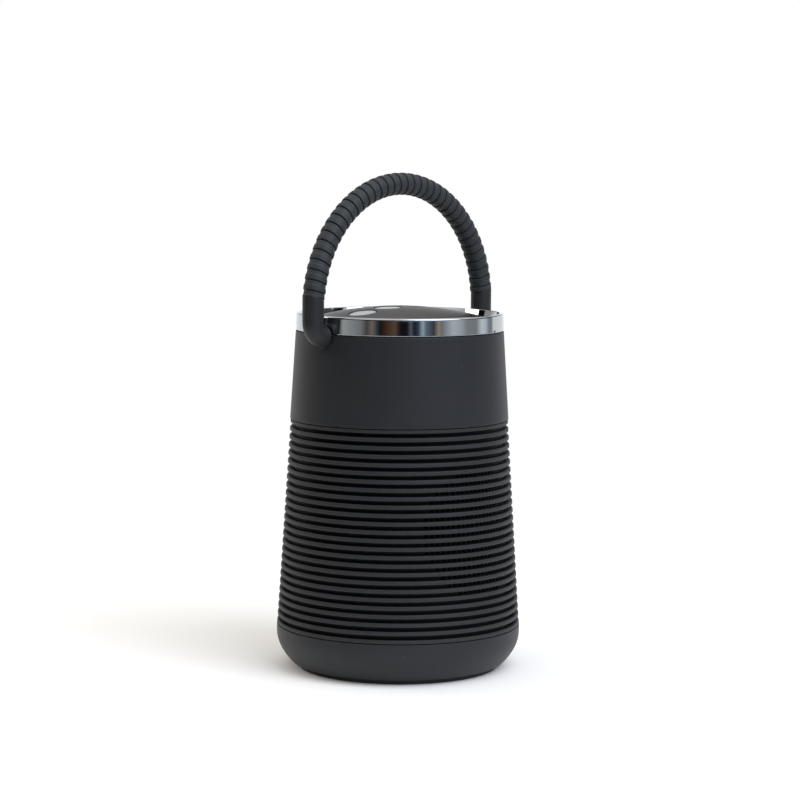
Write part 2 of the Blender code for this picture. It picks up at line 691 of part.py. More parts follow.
def build_cone(paper, rubber, out, seat):
    """Moving cone with its coil tube and dust cap, and the rubber surround in front of it."""
    face = FLANGE_T - SEAM
    t = CONE_T
    coil_end = -DRIVER_DEPTH - 0.35 * MAGNET_T
    cone = [(CONE_R, face), (CONE_R, face - t), (COIL_R + t, face - CONE_DEPTH - t), (COIL_R + t, coil_end)]
    cone += [(COIL_R, coil_end), (COIL_R, face - CONE_DEPTH), (CONE_R - 0.5 * mm, face)]
    lathe("driver_cone", cone, paper, 24, out, seat)
    cap_z = face - CONE_DEPTH + 1.6 * mm
    cap = [(0.0, cap_z + 2.6 * mm), (4.6 * mm, cap_z + 1.6 * mm), (7.4 * mm, cap_z - 0.2 * mm)]
    cap += [(6.8 * mm, cap_z - 0.2 * mm), (0.0, cap_z + 2.0 * mm)]
    lathe("driver_dust_cap", cap, paper, 20, out, seat)
    inner, outer = CONE_R + SEAM, SURROUND_R
    low = FLANGE_T + SEAM
    middle, roll = (inner + outer) / 2.0, low + SURROUND_ROLL
    edge = [(outer, low + t), (outer, low), (inner, low), (inner, low + t)]
    edge += [(middle - 0.7 * mm, roll), (middle + 0.7 * mm, roll)]
    lathe("driver_surround", edge, rubber, 24, out)


def build_driver(metal, paper, rubber, magnet, steel, foam):
    """Full-range driver facing -Y: basket, magnet, moving cone with dust cap, surround, gasket, screws."""
    seat = driver_y()
    middle = (0.0, seat, patch_centre_z())
    out = facing(middle, (0.0, -1.0, 0.0))
    build_basket(metal, out)
    build_magnet(magnet, out)
    build_cone(paper, rubber, out, middle)
    gasket_in = SURROUND_R + SEAM
    gasket = [(DRIVER_R, -SEAM), (DRIVER_R, -SEAM - GASKET_T), (gasket_in, -SEAM - GASKET_T)]
    gasket += [(gasket_in, -SEAM)]
    seal = lathe("driver_gasket", gasket, foam, 24, out)
    bores = []
    bearing = seat - FLANGE_T - SEAM
    for i, (x, z) in enumerate(driver_screw_places()):
        mesh = screw_mesh((x, bearing, z), (0.0, 1.0, 0.0), FLANGE_T + GASKET_T + CHASSIS_PLATE)
        place("driver_screw_%d" % (i + 1), mesh, steel)
        bores.append(rod_mesh(SCREW_SHANK_R + SEAM, (x, seat, z), (x, seat + 3.0 * OVERRUN, z), 8))
    boolean(seal, merged(bores))


def build_battery(cell_look, holder_look, board_look):
    """Lithium cell in a C-shaped cradle on the chassis floor, and the amplifier board behind it."""
    low = CHASSIS_LOW + CHASSIS_FLOOR + SEAM
    tray = low + HOLDER_T + SEAM
    top = tray + CELL_L
    y = cell_y()
    cell = [(0.0, top), (CELL_TIP_R, top), (CELL_TIP_R, top - CELL_TIP)]
    cell += [(CELL_R, top - CELL_TIP), (CELL_R, tray), (0.0, tray)]
    lathe("battery_cell", cell, cell_look, 20, Matrix.Translation((0.0, y, 0.0)))
    wide = CELL_R + HOLDER_T
    far = y + CELL_R + SEAM
    body = box_mesh((-wide, y - CELL_R, low), (wide, far + HOLDER_T, tray + 0.45 * CELL_L))
    holder = place("battery_holder", body, holder_look, smooth=False)
    boolean(holder, rod_mesh(CELL_R + SEAM, (0.0, y, low + HOLDER_T), (0.0, y, top), 20))
    opening = 0.75 * CELL_R
    boolean(holder, box_mesh((-opening, y - 2.0 * CELL_R, low + HOLDER_T), (opening, y, top)))
    start, front = board_low(), board_y()
    half = MAIN_BOARD_W / 2.0
    board = box_mesh((-half, front, start), (half, front + BOARD_T, start + MAIN_BOARD_H))
    place("main_board", board, board_look, smooth=False)


def bush_seat_x():
    """Where the wide part of the pivot bore starts, just outside the ring's skirt."""
    return skin_r(SHELL_TOP) - SHELL_WALL - SEAM / 2.0


def pivot_tools():
    """Stepped rods along the handle axis: pin clearance inside, bush seat through the walls."""
    seat = bush_seat_x()
    inside = seat - RING_SKIRT_T - 3.0 * OVERRUN
    narrow, wide = PIN_R + SEAM, BUSH_R + SEAM
    outline = [(0.0, LEG_X), (wide, LEG_X), (wide, seat), (narrow, seat), (narrow, inside), (0.0, inside)]
    return merged([lathe_mesh(outline, 14, facing((0.0, 0.0, PIVOT_Z), (side, 0.0, 0.0)))
                   for side in (-1.0, 1.0)])


def build_upper_shell(look, seal_look):
    """Smooth tapered shell with its spigot, seal groove, pivot bores and port window."""
    low, top = SEAM_HIGH + SEAM / 2.0, SHELL_TOP - SEAM / 2.0
    spigot = sleeve_inner_r(SEAM_HIGH) - SEAM
    lip = SEAM_HIGH - SPIGOT_H
    bore = spigot - SPIGOT_T
    bevel = SHELL_BEVEL
    outline = [(skin_r(top) - bevel, top), (skin_r(top), top - bevel), (skin_r(low), low), (spigot, low)]
    groove_top = SEAM_HIGH - SEAL_SET
    groove = (groove_top, groove_top - SEAL_T - 2.0 * SEAM)
    outline += [(spigot, groove[0]), (spigot - SEAL_GROOVE, groove[0]), (spigot - SEAL_GROOVE, groove[1])]
    outline += [(spigot, groove[1]), (spigot, lip), (bore, lip), (bore, low + SHELL_WALL)]
    outline += [(skin_r(low) - SHELL_WALL, low + 2.0 * SHELL_WALL), (skin_r(top) - SHELL_WALL, top)]
    shell = lathe("upper_shell", outline, look)
    boolean(shell, pivot_tools())
    gap = 2.0 * PORT_GAP
    near, far = 0.5 * SKIN_R_LOW, 1.5 * SKIN_R_LOW
    boolean(shell, stadium_mesh(FLAP_W + gap, FLAP_H + gap, near, far))
    seal_ring("shell_seal", spigot, groove[1] + SEAM, groove[0] - SEAM, seal_look)


def build_trim_ring(look):
    """Chromed ring with a rolled crest, a leaning inner wall, a ledge and a skirt inside the shell."""
    low = SHELL_TOP + SEAM / 2.0
    skirt = skin_r(SHELL_TOP) - SHELL_WALL - SEAM
    outline = []
    for i in range(4):
        turn = 0.5 * math.pi * i / 3.0
        rise, run = RING_ROUND * (1.0 - math.sin(turn)), RING_ROUND * (1.0 - math.cos(turn))
        outline.append((RING_R_TOP - rise, RING_TOP - run))
    outline.append((skin_r(SHELL_TOP), low))
    inner, skirt_in = RING_R_TOP - RING_WALL, skirt - RING_SKIRT_T
    seat = inner - RING_LEAN
    outline += [(skirt, low), (skirt, low - RING_SKIRT), (skirt_in, low - RING_SKIRT)]
    outline += [(skirt_in, LEDGE_Z), (seat, LEDGE_Z), (seat, GUTTER_Z), (inner, RING_TOP - RING_BEVEL)]
    outline += [(inner + RING_BEVEL, RING_TOP)]
    ring = lathe("trim_ring", outline, look)
    boolean(ring, pivot_tools())


def button_places():
    for i in range(BUTTON_COUNT):
        yield (i - (BUTTON_COUNT - 1) / 2.0) * BUTTON_PITCH


def mat_top():
    """Upper face of the keypad mat, clear of a fully pressed button."""
    return BUTTON_FOOT_Z - BUTTON_TRAVEL - MAT_CLEAR


def board_top():
    """Upper face of the control board, under the mat and its switches."""
    return mat_top() - MAT_T - SWITCH_H - 2.0 * SEAM


def post_places():
    return (-BOARD_POST_Y, BOARD_POST_Y)


def build_top_panel(look):
    """Domed control panel with four wells, a sunken gutter rim and two board posts."""
    rim = RING_R_TOP - RING_WALL - RING_LEAN - SEAM
    under = LEDGE_Z + SEAM
    inner_r = DOME_R - DOME_T
    outline = [(DOME_R * i / DOME_STEPS, dome_z(DOME_R * i / DOME_STEPS)) for i in range(DOME_STEPS + 1)]
    outline += [(DOME_R, GUTTER_Z), (rim, GUTTER_Z), (rim, under), (inner_r, under)]
    for i in range(DOME_STEPS, -1, -1):
        radius = (inner_r - DOME_INSET) * i / DOME_STEPS
        outline.append((radius, dome_z(radius, DOME_T)))
    panel = lathe("top_panel", outline, look)
    low = board_top() + SEAM
    high = dome_z(BOARD_POST_Y, 0.5 * DOME_T)
    posts = [rod_mesh(POST_R, (0.0, y, low), (0.0, y, high), 12) for y in post_places()]
    boolean(panel, merged(posts), "UNION")
    well = BUTTON_R + BUTTON_GAP
    above = DOME_APEX_Z + 3.0 * OVERRUN
    holes = [rod_mesh(well, (x, 0.0, LEDGE_Z), (x, 0.0, above), 20) for x in button_places()]
    start, end = board_top() - OVERRUN, board_top() + POST_HOLE
    holes += [rod_mesh(SCREW_SHANK_R + SEAM, (0.0, y, start), (0.0, y, end), 8) for y in post_places()]
    boolean(panel, merged(holes))


def button_mesh(x0):
    """Cap crowned like the dome, with a retaining flange at its foot."""
    sides = 20
    mesh = bmesh.new()
    lip = BUTTON_R + BUTTON_LIP
    lip_top = dome_z(abs(x0) + lip, DOME_T) - SEAM - BUTTON_PLAY
    heights = [(0.55, None), (1.0, None), (1.0, lip_top), (None, lip_top), (None, BUTTON_FOOT_Z)]
    rings = []
    for share, height in heights:
        radius = lip if share is None else BUTTON_R * share
        ring = []
        for k in range(sides):
            angle = 2.0 * math.pi * k / sides
            x, y = x0 + radius * math.cos(angle), radius * math.sin(angle)
            z = dome_z(math.hypot(x, y), BUTTON_SINK) if height is None else height
            ring.append(mesh.verts.new((x, y, z)))
        rings.append(ring)
    crown = mesh.verts.new((x0, 0.0, dome_z(abs(x0), BUTTON_SINK)))
    for k in range(sides):
        mesh.faces.new((crown, rings[0][k], rings[0][(k + 1) % sides]))
    join_rings(mesh, rings)
    mesh.faces.new(rings[-1])
    return mesh


def build_buttons(look, mat_look, switch_look, board_look, steel):
    """Four caps crowned like the dome, the silicone mat, tact switches and the control board."""
    for n, x0 in enumerate(button_places()):
        place("button_%d" % (n + 1), button_mesh(x0), look, (x0, 0.0, BUTTON_FOOT_Z))
    mat_low = mat_top() - MAT_T
    lip = BUTTON_R + BUTTON_LIP
    half = (BUTTON_COUNT - 1) / 2.0 * BUTTON_PITCH + lip
    deep = lip + MAT_MARGIN
    place("keypad_mat", box_mesh((-half, -deep, mat_low), (half, deep, mat_top())), mat_look, smooth=False)
    switch_top = mat_low - SEAM
    w = SWITCH_W / 2.0
    for n, x0 in enumerate(button_places()):
        mesh = box_mesh((x0 - w, -w, switch_top - SWITCH_H), (x0 + w, w, switch_top))
        place("tact_switch_%d" % (n + 1), mesh, switch_look, smooth=False)
    top = board_top()
    board = [(0.0, top), (BOARD_R, top), (BOARD_R, top - BOARD_T), (0.0, top - BOARD_T)]
    plate = lathe("control_board", board, board_look, 28)
    start, end = top - 4.0 * OVERRUN, top + OVERRUN
    boolean(plate, merged([rod_mesh(SCREW_SHANK_R + SEAM, (0.0, y, start), (0.0, y, end), 8)
                           for y in post_places()]))
    for n, y in enumerate(post_places()):
        mesh = screw_mesh((0.0, y, top - BOARD_T - SEAM), (0.0, 0.0, 1.0), BOARD_SCREW_L)
        place("board_screw_%d" % (n + 1), mesh, steel)


def arch_points(count, start_z):
    """Centreline of the hose from one leg over the arch to the other, evenly stepped by length."""
    fine = 400
    path = [Vector((-LEG_X, 0.0, start_z))] if start_z < ARCH_Z else []
    for i in range(fine + 1):
        turn = math.pi * i / fine
        point = Vector((-LEG_X * math.cos(turn), 0.0, ARCH_Z + ARCH_H * math.sin(turn)))
        if point.z >= start_z or start_z < ARCH_Z:
            path.append(point)
    if start_z < ARCH_Z:
        path.append(Vector((LEG_X, 0.0, start_z)))
    lengths = [0.0]
    for a, b in zip(path, path[1:]):
        lengths.append(lengths[-1] + (b - a).length)
    result = []
    k = 0
    for i in range(count + 1):
        want = lengths[-1] * i / count
        while k < len(path) - 2 and lengths[k + 1] < want:
            k += 1
        share = (want - lengths[k]) / (lengths[k + 1] - lengths[k])
        result.append(path[k].lerp(path[k + 1], share))
    return result


def grip_mesh():
    """Hose with a neck and a crest for each ring, bored for its core."""
    path = arch_points(GRIP_RINGS * 6, ELBOW_TOP + SEAM)
    stations, radii = [], []
    for ring in range(GRIP_RINGS):
        for offset, radius in ((0, GRIP_NECK_R), (1, GRIP_R), (5, GRIP_R)):
            stations.append(path[ring * 6 + offset])
            radii.append(radius)
    stations.append(path[-1])
    radii.append(GRIP_NECK_R)
    headings = [(ahead - behind).normalized() for behind, ahead in zip(stations, stations[2:])]
    headings = [Vector((0.0, 0.0, 1.0))] + headings + [Vector((0.0, 0.0, -1.0))]
    return tube_mesh(stations, radii, BORE_R, GRIP_SIDES, BORE_STEP, headings)


def core_mesh():
    """Sprung core through the hose, with a straight stub in each elbow."""
    core = arch_points(CORE_STEPS, ELBOW_TOP)
    stub = Vector((0.0, 0.0, CORE_INSERT))
    core = [core[0] - stub] + core + [core[-1] - stub]
    return tube_mesh(core, [CORE_R] * len(core), 0.0, GRIP_SIDES)


def elbow_mesh(side):
    """Quarter bend from the flat end at the shell up to the hose, bored through."""
    end_x = SKIN_R_TOP + ELBOW_GAP
    bend = LEG_X - end_x
    path, radii, headings = [], [], []
    for i in range(ELBOW_STEPS + 1):
        turn = 0.5 * math.pi * i / ELBOW_STEPS
        x = end_x + bend * math.sin(turn)
        path.append(Vector((side * x, 0.0, PIVOT_Z + bend * (1.0 - math.cos(turn)))))
        radii.append(ELBOW_END_R - ELBOW_FLARE * i / ELBOW_STEPS)
        headings.append(Vector((side * math.cos(turn), 0.0, math.sin(turn))))
    path.append(Vector((side * LEG_X, 0.0, ELBOW_TOP)))
    return tube_mesh(path, radii + [ELBOW_R], BORE_R, 12, 1, headings + headings[-1:])


def build_handle(hose, plastic, steel, pivot):
    """Ringed hose grip on a sprung core, two elbows, pivot pins and their retaining clips."""
    empty = bpy.data.objects.new("handle_pivot", None)
    empty.location = pivot
    bpy.context.collection.objects.link(empty)

    def ride(name, mesh, look):
        item = place(name, mesh, look, pivot)
        item.parent = empty
        item.matrix_parent_inverse = Matrix.Translation(-Vector(pivot))

    ride("handle_grip", grip_mesh(), hose)
    ride("handle_core", core_mesh(), steel)
    pin_end = SKIN_R_TOP + ELBOW_GAP + PIN_INSERT
    inner = pin_end - PIN_LENGTH
    for name, side in (("left", -1.0), ("right", 1.0)):
        ride("handle_elbow_" + name, elbow_mesh(side), plastic)
        pin = rod_mesh(PIN_R, (side * pin_end, 0.0, PIVOT_Z), (side * inner, 0.0, PIVOT_Z), 12)
        ride("pivot_pin_" + name, pin, steel)
        clip_x = inner + CLIP_SET
        tube = [(CLIP_R, CLIP_T), (CLIP_R, 0.0), (PIN_R + SEAM, 0.0), (PIN_R + SEAM, CLIP_T)]
        clip = lathe_mesh(tube, 12, facing((side * clip_x, 0.0, PIVOT_Z), (side, 0.0, 0.0)))
        ride("pivot_clip_" + name, clip, steel)


def build_bushes(look):
    """Acetal bushes that carry the handle pins where the shell and the ring meet."""
    start = bush_seat_x() + SEAM
    length = skin_r(SHELL_TOP) - BUSH_INSET - start
    bore = PIN_R + SEAM
    for name, side in (("left", -1.0), ("right", 1.0)):
        outline = [(BUSH_R, length), (BUSH_R, 0.0), (bore, 0.0), (bore, length)]
        mesh = lathe_mesh(outline, 14, facing((side * start, 0.0, PIVOT_Z), (side, 0.0, 0.0)))
        place("pivot_bush_" + name, mesh, look)


def stadium_half_height(x, width, height):
    """Half height of a round-ended slot at a distance from its middle."""
    over = abs(x) - (width - height) / 2.0
    return height / 2.0 if over <= 0.0 else math.sqrt(max((height / 2.0) ** 2 - over ** 2, 0.0))


def stadium_stations(width, height):
    straight = (width - height) / 2.0
    ends = [straight + height / 2.0 * math.sin(math.radians(a)) for a in (30.0, 60.0, 84.0)]
    middle = [-straight, -straight / 2.0, 0.0, straight / 2.0, straight]
    return [-e for e in reversed(ends)] + middle + ends


def stadium_mesh(width, height, near, far):
    """Round-ended prism along Y at the port height."""
    mesh = bmesh.new()
    layers = []
    for y in (near, far):
        xs = stadium_stations(width, height)
        upper = [mesh.verts.new((x, y, PORT_Z + stadium_half_height(x, width, height))) for x in xs]
        lower = [mesh.verts.new((x, y, PORT_Z - stadium_half_height(x, width, height))) for x in xs]
        layers.append(upper + lower[::-1])
    front, back = layers
    mesh.faces.new(front)
    mesh.faces.new(back)
    for i in range(len(front)):
        j = (i + 1) % len(front)
        mesh.faces.new((front[i], front[j], back[j], back[i]))
    return mesh


def flap_mesh():
    """Cover that follows the shell's outside, one sheet in front and one behind."""
    xs = stadium_stations(FLAP_W, FLAP_H)
    mesh = bmesh.new()
    layers = []
    for depth in (FLAP_INSET, FLAP_INSET + FLAP_T):
        rows = []
        for sign in (1.0, -1.0):
            row = []
            for x in xs:
                z = PORT_Z + sign * stadium_half_height(x, FLAP_W, FLAP_H)
                row.append(mesh.verts.new((x, math.sqrt(skin_r(z) ** 2 - x * x) - depth, z)))
            rows.append(row)
        layers.append(rows)
    front, back = layers
    for i in range(len(xs) - 1):
        for rows in (front, back):
            mesh.faces.new((rows[0][i], rows[0][i + 1], rows[1][i + 1], rows[1][i]))
        for k in (0, 1):
            mesh.faces.new((front[k][i], front[k][i + 1], back[k][i + 1], back[k][i]))
    for i in (0, len(xs) - 1):
        mesh.faces.new((front[0][i], front[1][i], back[1][i], back[0][i]))
    return mesh


def port_box(x, half_w, half_h, near, far):
    """Box about the port axis, shifted sideways."""
    return box_mesh((x - half_w, near, PORT_Z - half_h), (x + half_w, far, PORT_Z + half_h))


def build_port(rubber, plastic, metal, dark, board_look):
    """Hinged rubber flap, its tray with the two jacks, and the small board behind them."""
    hinge_x = -FLAP_W / 2.0
    hinge_y = math.sqrt(skin_r(PORT_Z) ** 2 - hinge_x ** 2) - FLAP_INSET
    place("port_flap", flap_mesh(), rubber, (hinge_x, hinge_y, PORT_Z))
    wide = FLAP_W / 2.0 + TRAY_MARGIN
    tall = FLAP_H / 2.0 + TRAY_MARGIN
    inner_y = math.sqrt((skin_r(PORT_Z + tall) - SHELL_WALL) ** 2 - wide ** 2) - SEAM
    body = port_box(0.0, wide, tall, inner_y - TRAY_T, inner_y)
    tray = place("port_tray", body, plastic, smooth=False)
    half_w, half_h = USB_W / 2.0, USB_H / 2.0
    face = inner_y + SEAM
    tail = face - JACK_L
    usb_hole = port_box(-JACK_X, half_w + SEAM, half_h + SEAM, tail, face + OVERRUN)
    aux_hole = rod_mesh(AUX_R + SEAM, (JACK_X, tail, PORT_Z), (JACK_X, face + OVERRUN, PORT_Z), 14)
    boolean(tray, merged([usb_hole, aux_hole]))
    usb_jack = place("usb_c_jack", port_box(-JACK_X, half_w, half_h, tail, face), metal, smooth=False)
    mouth_w, mouth_h = half_w - JACK_WALL, half_h - JACK_WALL
    boolean(usb_jack, port_box(-JACK_X, mouth_w, mouth_h, tail + JACK_BACK, face + OVERRUN))
    aux = [(AUX_R, JACK_L), (AUX_R, 0.0), (0.0, 0.0), (0.0, JACK_BACK), (AUX_BORE_R, JACK_BACK)]
    aux += [(AUX_BORE_R, JACK_L)]
    lathe("aux_jack", aux, dark, 14, facing((JACK_X, tail, PORT_Z), (0.0, 1.0, 0.0)))
    high = tail - SEAM
    board = port_box(0.0, IO_BOARD_W / 2.0, IO_BOARD_H / 2.0, high - BOARD_T, high)
    place("port_board", board, board_look, smooth=False)


def main():
    clear_scene()
    soft_black = material("soft_touch_abs", "36383B", 0.55)
    rib_black = material("ribbed_tpe", "3A3B3D", 0.6)
    rubber = material("rubber_black", "2A2B2C", 0.75)
    chrome = material("chrome_plated_abs", "D8DBDD", 0.08, 1.0)
    panel_grey = material("satin_panel", "4A4642", 0.35)
    silver = material("button_silver", "D9DADB", 0.3, 0.6)
    steel = material("zinc_steel", "A9ABAD", 0.35, 1.0)
    nylon = material("nylon_black", "242526", 0.5)
    acetal = material("acetal_white", "E4E3DF", 0.4)
    silicone = material("silicone_grey", "6E7072", 0.6)
    board = material("circuit_board", "1F4A33", 0.45)
    paper = material("cone_paper", "2B2A29", 0.8)
    ferrite = material("ferrite", "33312F", 0.6, 0.3)
    basket = material("pressed_steel", "55575A", 0.45, 0.8)
    foam = material("gasket_foam", "3C3C3C", 0.9)
    screen = material("woven_screen", "1C1C1D", 0.85)
    wrap = material("cell_wrap", "2C5E8F", 0.35)
    hose = material("hose_tpe", "3D4043", 0.6)

    build_base(soft_black, rubber, steel, silicone)
    build_sleeve(rib_black)
    build_acoustic_mesh(screen)
    build_chassis(nylon)
    build_driver(basket, paper, rubber, ferrite, steel, foam)
    build_battery(wrap, nylon, board)
    build_upper_shell(soft_black, silicone)
    build_trim_ring(chrome)
    build_top_panel(panel_grey)
    build_buttons(silver, silicone, nylon, board, steel)
    build_bushes(acetal)
    build_handle(hose, nylon, steel, (0.0, 0.0, PIVOT_Z))
    build_port(rubber, nylon, steel, nylon, board)


main()
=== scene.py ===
"""Portable shower speaker: finished surfaces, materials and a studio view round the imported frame."""
import json
import math

import bmesh
import bpy
from mathutils import Matrix, Vector


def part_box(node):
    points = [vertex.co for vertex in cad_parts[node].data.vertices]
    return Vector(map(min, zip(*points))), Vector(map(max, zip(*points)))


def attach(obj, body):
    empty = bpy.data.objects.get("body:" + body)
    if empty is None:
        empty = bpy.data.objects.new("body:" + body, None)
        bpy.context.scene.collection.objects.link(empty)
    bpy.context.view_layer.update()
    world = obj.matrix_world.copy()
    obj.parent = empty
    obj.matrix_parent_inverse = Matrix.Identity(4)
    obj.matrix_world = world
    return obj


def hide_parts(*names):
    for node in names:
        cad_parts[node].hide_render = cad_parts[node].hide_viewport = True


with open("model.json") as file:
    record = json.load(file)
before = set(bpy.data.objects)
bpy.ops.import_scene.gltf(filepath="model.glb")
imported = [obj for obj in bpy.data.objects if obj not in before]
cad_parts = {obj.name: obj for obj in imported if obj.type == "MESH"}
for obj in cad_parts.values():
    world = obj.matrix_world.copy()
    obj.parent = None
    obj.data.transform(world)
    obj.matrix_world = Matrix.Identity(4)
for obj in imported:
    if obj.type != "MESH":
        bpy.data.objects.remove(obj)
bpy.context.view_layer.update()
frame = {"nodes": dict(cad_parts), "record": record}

MM = 0.001

# Body: seams, tapers and walls
CUP_LOW, CUP_TOP = (corner[2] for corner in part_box("base_cup"))
SLEEVE_LOW, SLEEVE_TOP = (corner[2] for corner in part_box("ribbed_sleeve"))
RING_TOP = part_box("trim_ring")[1][2]
SHELL_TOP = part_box("upper_shell")[1][2]
SEAM = 0.3 * MM
SEAM_LOW, SEAM_HIGH = SLEEVE_LOW - SEAM / 2, SLEEVE_TOP + SEAM / 2
SKIN_LOW_R, SKIN_TOP_R, SKIN_TOP_Z = 45.25 * MM, 38.45 * MM, 125.3 * MM
RIB_TOP_R, RIB_LOW_R = 40.3 * MM, 45.2 * MM
RIB_COUNT, RIB_HEIGHT, RIB_DEPTH, RIB_ROUND = 24, 1.56 * MM, 2.1 * MM, 0.5 * MM
SLEEVE_WALL, LIP_HEIGHT, LIP_ROUND = 1.2 * MM, 1.35 * MM, 0.12 * MM
SHELL_WALL, CUP_WALL = 2.2 * MM, 2.4 * MM
SPIGOT_WALL = 2.6 * MM  # cup and shell each have a spigot that stands in the sleeve
FOOT_R, FOOT_INNER_R, FOOT_TOP = 37.3 * MM, 27.0 * MM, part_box("foot_ring")[1][2]
FOOT_GROOVES, GROOVE_DEPTH = (35.4 * MM, 33.2 * MM, 31.0 * MM), 0.35 * MM
PORT_W, PORT_H = 24.0 * MM, 10.6 * MM

# Round patch of sound holes
PATCH_R, HOLE_R, HOLE_STEP = 23.4 * MM, 0.62 * MM, math.radians(3.0)
PATCH_LEAST, HOLE_SIDES = math.radians(6.0), 16  # grooves with a shorter row get no holes

# Control top
DOME_APEX, DOME_SPHERE_R, DOME_R = 134.15 * MM, 121.7 * MM, 32.0 * MM
GUTTER_Z, PANEL_UNDER, PANEL_R = RING_TOP - 3.2 * MM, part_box("top_panel")[0][2], 35.15 * MM
RING_R, RING_INNER_R, RING_SEAT_R, RING_ROUND = 38.25 * MM, 36.7 * MM, 35.45 * MM, 0.9 * MM
PANEL_WALL = 2.0 * MM
BUTTON_R, BUTTON_GAP, BUTTON_SINK, BUTTON_PLAY = 4.9 * MM, 0.3 * MM, 0.25 * MM, 0.05 * MM

# Handle
JOINTS = {joint["name"]: joint for joint in frame["record"]["behaviour"]["joints"]}
PIVOT = Vector(JOINTS["handle_swing"]["pos_m"])
PIN_BORE, REACH = 2.9 * MM, 60 * MM  # reach: cutters that pass right through go this far
LEG_X, ARCH_Z, ARCH_RISE = 44.15 * MM, 134.0 * MM, 45.1 * MM
ELBOW_R, ELBOW_END_R, ELBOW_TOP = 3.9 * MM, 4.25 * MM, 139.1 * MM
ELBOW_CUT, ELBOW_CUT_DEPTH = math.tan(math.radians(16.0)), 4 * MM  # slope of the elbow's top, outer side up
ELBOW_BORE, PARTING_LINE = 2.2 * MM, 0.07 * MM
GRIP_R, GROOVE_R, GRIP_RINGS, GRIP_SIDES = 4.1 * MM, 3.3 * MM, 37, 48
GRIP_STEPS, GRIP_PHASE = 24, 13 / 24  # steps along each ring; share of a ring already gone at the elbow
GRIP_SLANT = math.tan(math.radians(9.0))  # slant of the hose rings beside the legs, against the bend

ROUND = 240


# ---- small modelling tools ---------------------------------------------------------------------

def skin_r(z):
    """Radius of the smooth tapered skin at a height."""
    return SKIN_LOW_R + (SKIN_TOP_R - SKIN_LOW_R) * (z - SEAM_LOW) / (SKIN_TOP_Z - SEAM_LOW)


def crest_r(z):
    """Radius of the rib crests at a height."""
    return RIB_LOW_R + (RIB_TOP_R - RIB_LOW_R) * (z - SEAM_LOW) / (SEAM_HIGH - SEAM_LOW)


def dome_z(r, depth=0.0):
    return DOME_APEX - depth - r * r / (2 * DOME_SPHERE_R)


def rounded(corners, steps=3):
    """Outline with its corners turned into arcs: corners are (r, z, fillet)."""
    result = []
    count = len(corners)
    for i, (x, y, fillet) in enumerate(corners):
        here = Vector((x, y))
        back = Vector(corners[i - 1][:2]) - here
        ahead = Vector(corners[(i + 1) % count][:2]) - here
        if fillet <= 0 or back.length < 1e-9 or ahead.length < 1e-9:
            result.append((x, y))
            continue
        bend = back.angle(ahead)
        reach = min(fillet / math.tan(bend / 2), 0.49 * back.length, 0.49 * ahead.length)
        start, end = here + back.normalized() * reach, here + ahead.normalized() * reach
        for k in range(steps + 1):
            t = k / steps
            point = start * (1 - t) ** 2 + here * 2 * t * (1 - t) + end * t ** 2
            result.append((point.x, point.y))
    return result


def from_bmesh(mesh, name="work"):
    data = bpy.data.meshes.new(name)
    mesh.to_mesh(data)
    mesh.free()
    return data


def finish_piece(name, shape, materials, body, nodes=(), sharp=32.0):
    """Turns a bmesh or a mesh into a named piece that rides on a body and stands for CAD nodes."""
    data = from_bmesh(shape, name) if isinstance(shape, bmesh.types.BMesh) else shape
    data.materials.clear()
    for look in materials:
        data.materials.append(look)
    data.shade_smooth()
    data.set_sharp_from_angle(angle=math.radians(sharp))
    piece = bpy.data.objects.new(name, data)
    bpy.context.collection.objects.link(piece)
    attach(piece, body)
    if nodes:
        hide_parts(*nodes)
    return piece


def turned(outline, segments=ROUND, skip=None):
    """Solid turned about Z from a closed (r, z) outline; skip(i, n) leaves out a face."""
    mesh = bmesh.new()
    rows = []
    for r, z in outline:
        if r < 1e-7:
            rows.append([mesh.verts.new((0, 0, z))] * segments)
        else:
            rows.append([mesh.verts.new((r * math.cos(a), r * math.sin(a), z))
                         for a in (2 * math.pi * i / segments for i in range(segments))])
    for n, (upper, lower) in enumerate(zip(rows, rows[1:] + rows[:1])):
        for i in range(segments):
            if skip and skip(i, n):
                continue
            j = (i + 1) % segments
            corners = list(dict.fromkeys((upper[i], lower[i], lower[j], upper[j])))
            if len(corners) > 2:
                mesh.faces.new(corners)
    return mesh


def swept(path, headings, radii, sides=72, bore=None, ridge=0.0):
    """Closed tube along a path in the XZ plane, with an optional bore and parting line on its outer side."""
    mesh = bmesh.new()
    across = Vector((0, 1, 0))
    outer, inner = [], []
    for point, along, radius in zip(path, headings, radii):
        up = along.cross(across).normalized()
        spokes = [across * math.cos(a) + up * math.sin(a)
                  for a in (2 * math.pi * k / sides for k in range(sides))]
        swell = [ridge if k in (sides // 4, sides * 3 // 4) else 0.0 for k in range(sides)]
        outer.append([mesh.verts.new(point + s * (radius + w)) for s, w in zip(spokes, swell)])
        inner.append([mesh.verts.new(point + s * (bore or radius)) for s in spokes] if bore else None)
    bands = list(zip(outer, outer[1:]))
    if bore:
        bands += list(zip(inner, inner[1:])) + [(outer[0], inner[0]), (outer[-1], inner[-1])]
    else:
        mesh.faces.new(outer[0])
        mesh.faces.new(outer[-1])
    for a, b in bands:
        for k in range(sides):
            m = (k + 1) % sides
            mesh.faces.new((a[k], a[m], b[m], b[k]))
    bmesh.ops.recalc_face_normals(mesh, faces=mesh.faces)
    return mesh


def bake(piece):
    """Evaluated copy of an object's mesh, with the object removed."""
    bpy.context.view_layer.update()
    graph = bpy.context.evaluated_depsgraph_get()
    data = bpy.data.meshes.new_from_object(piece.evaluated_get(graph))
    bpy.data.objects.remove(piece)
    return data


def loose(name, data):
    """Plain working object that never rides or shows in the result."""
    piece = bpy.data.objects.new(name, data)
    bpy.context.collection.objects.link(piece)
    return piece


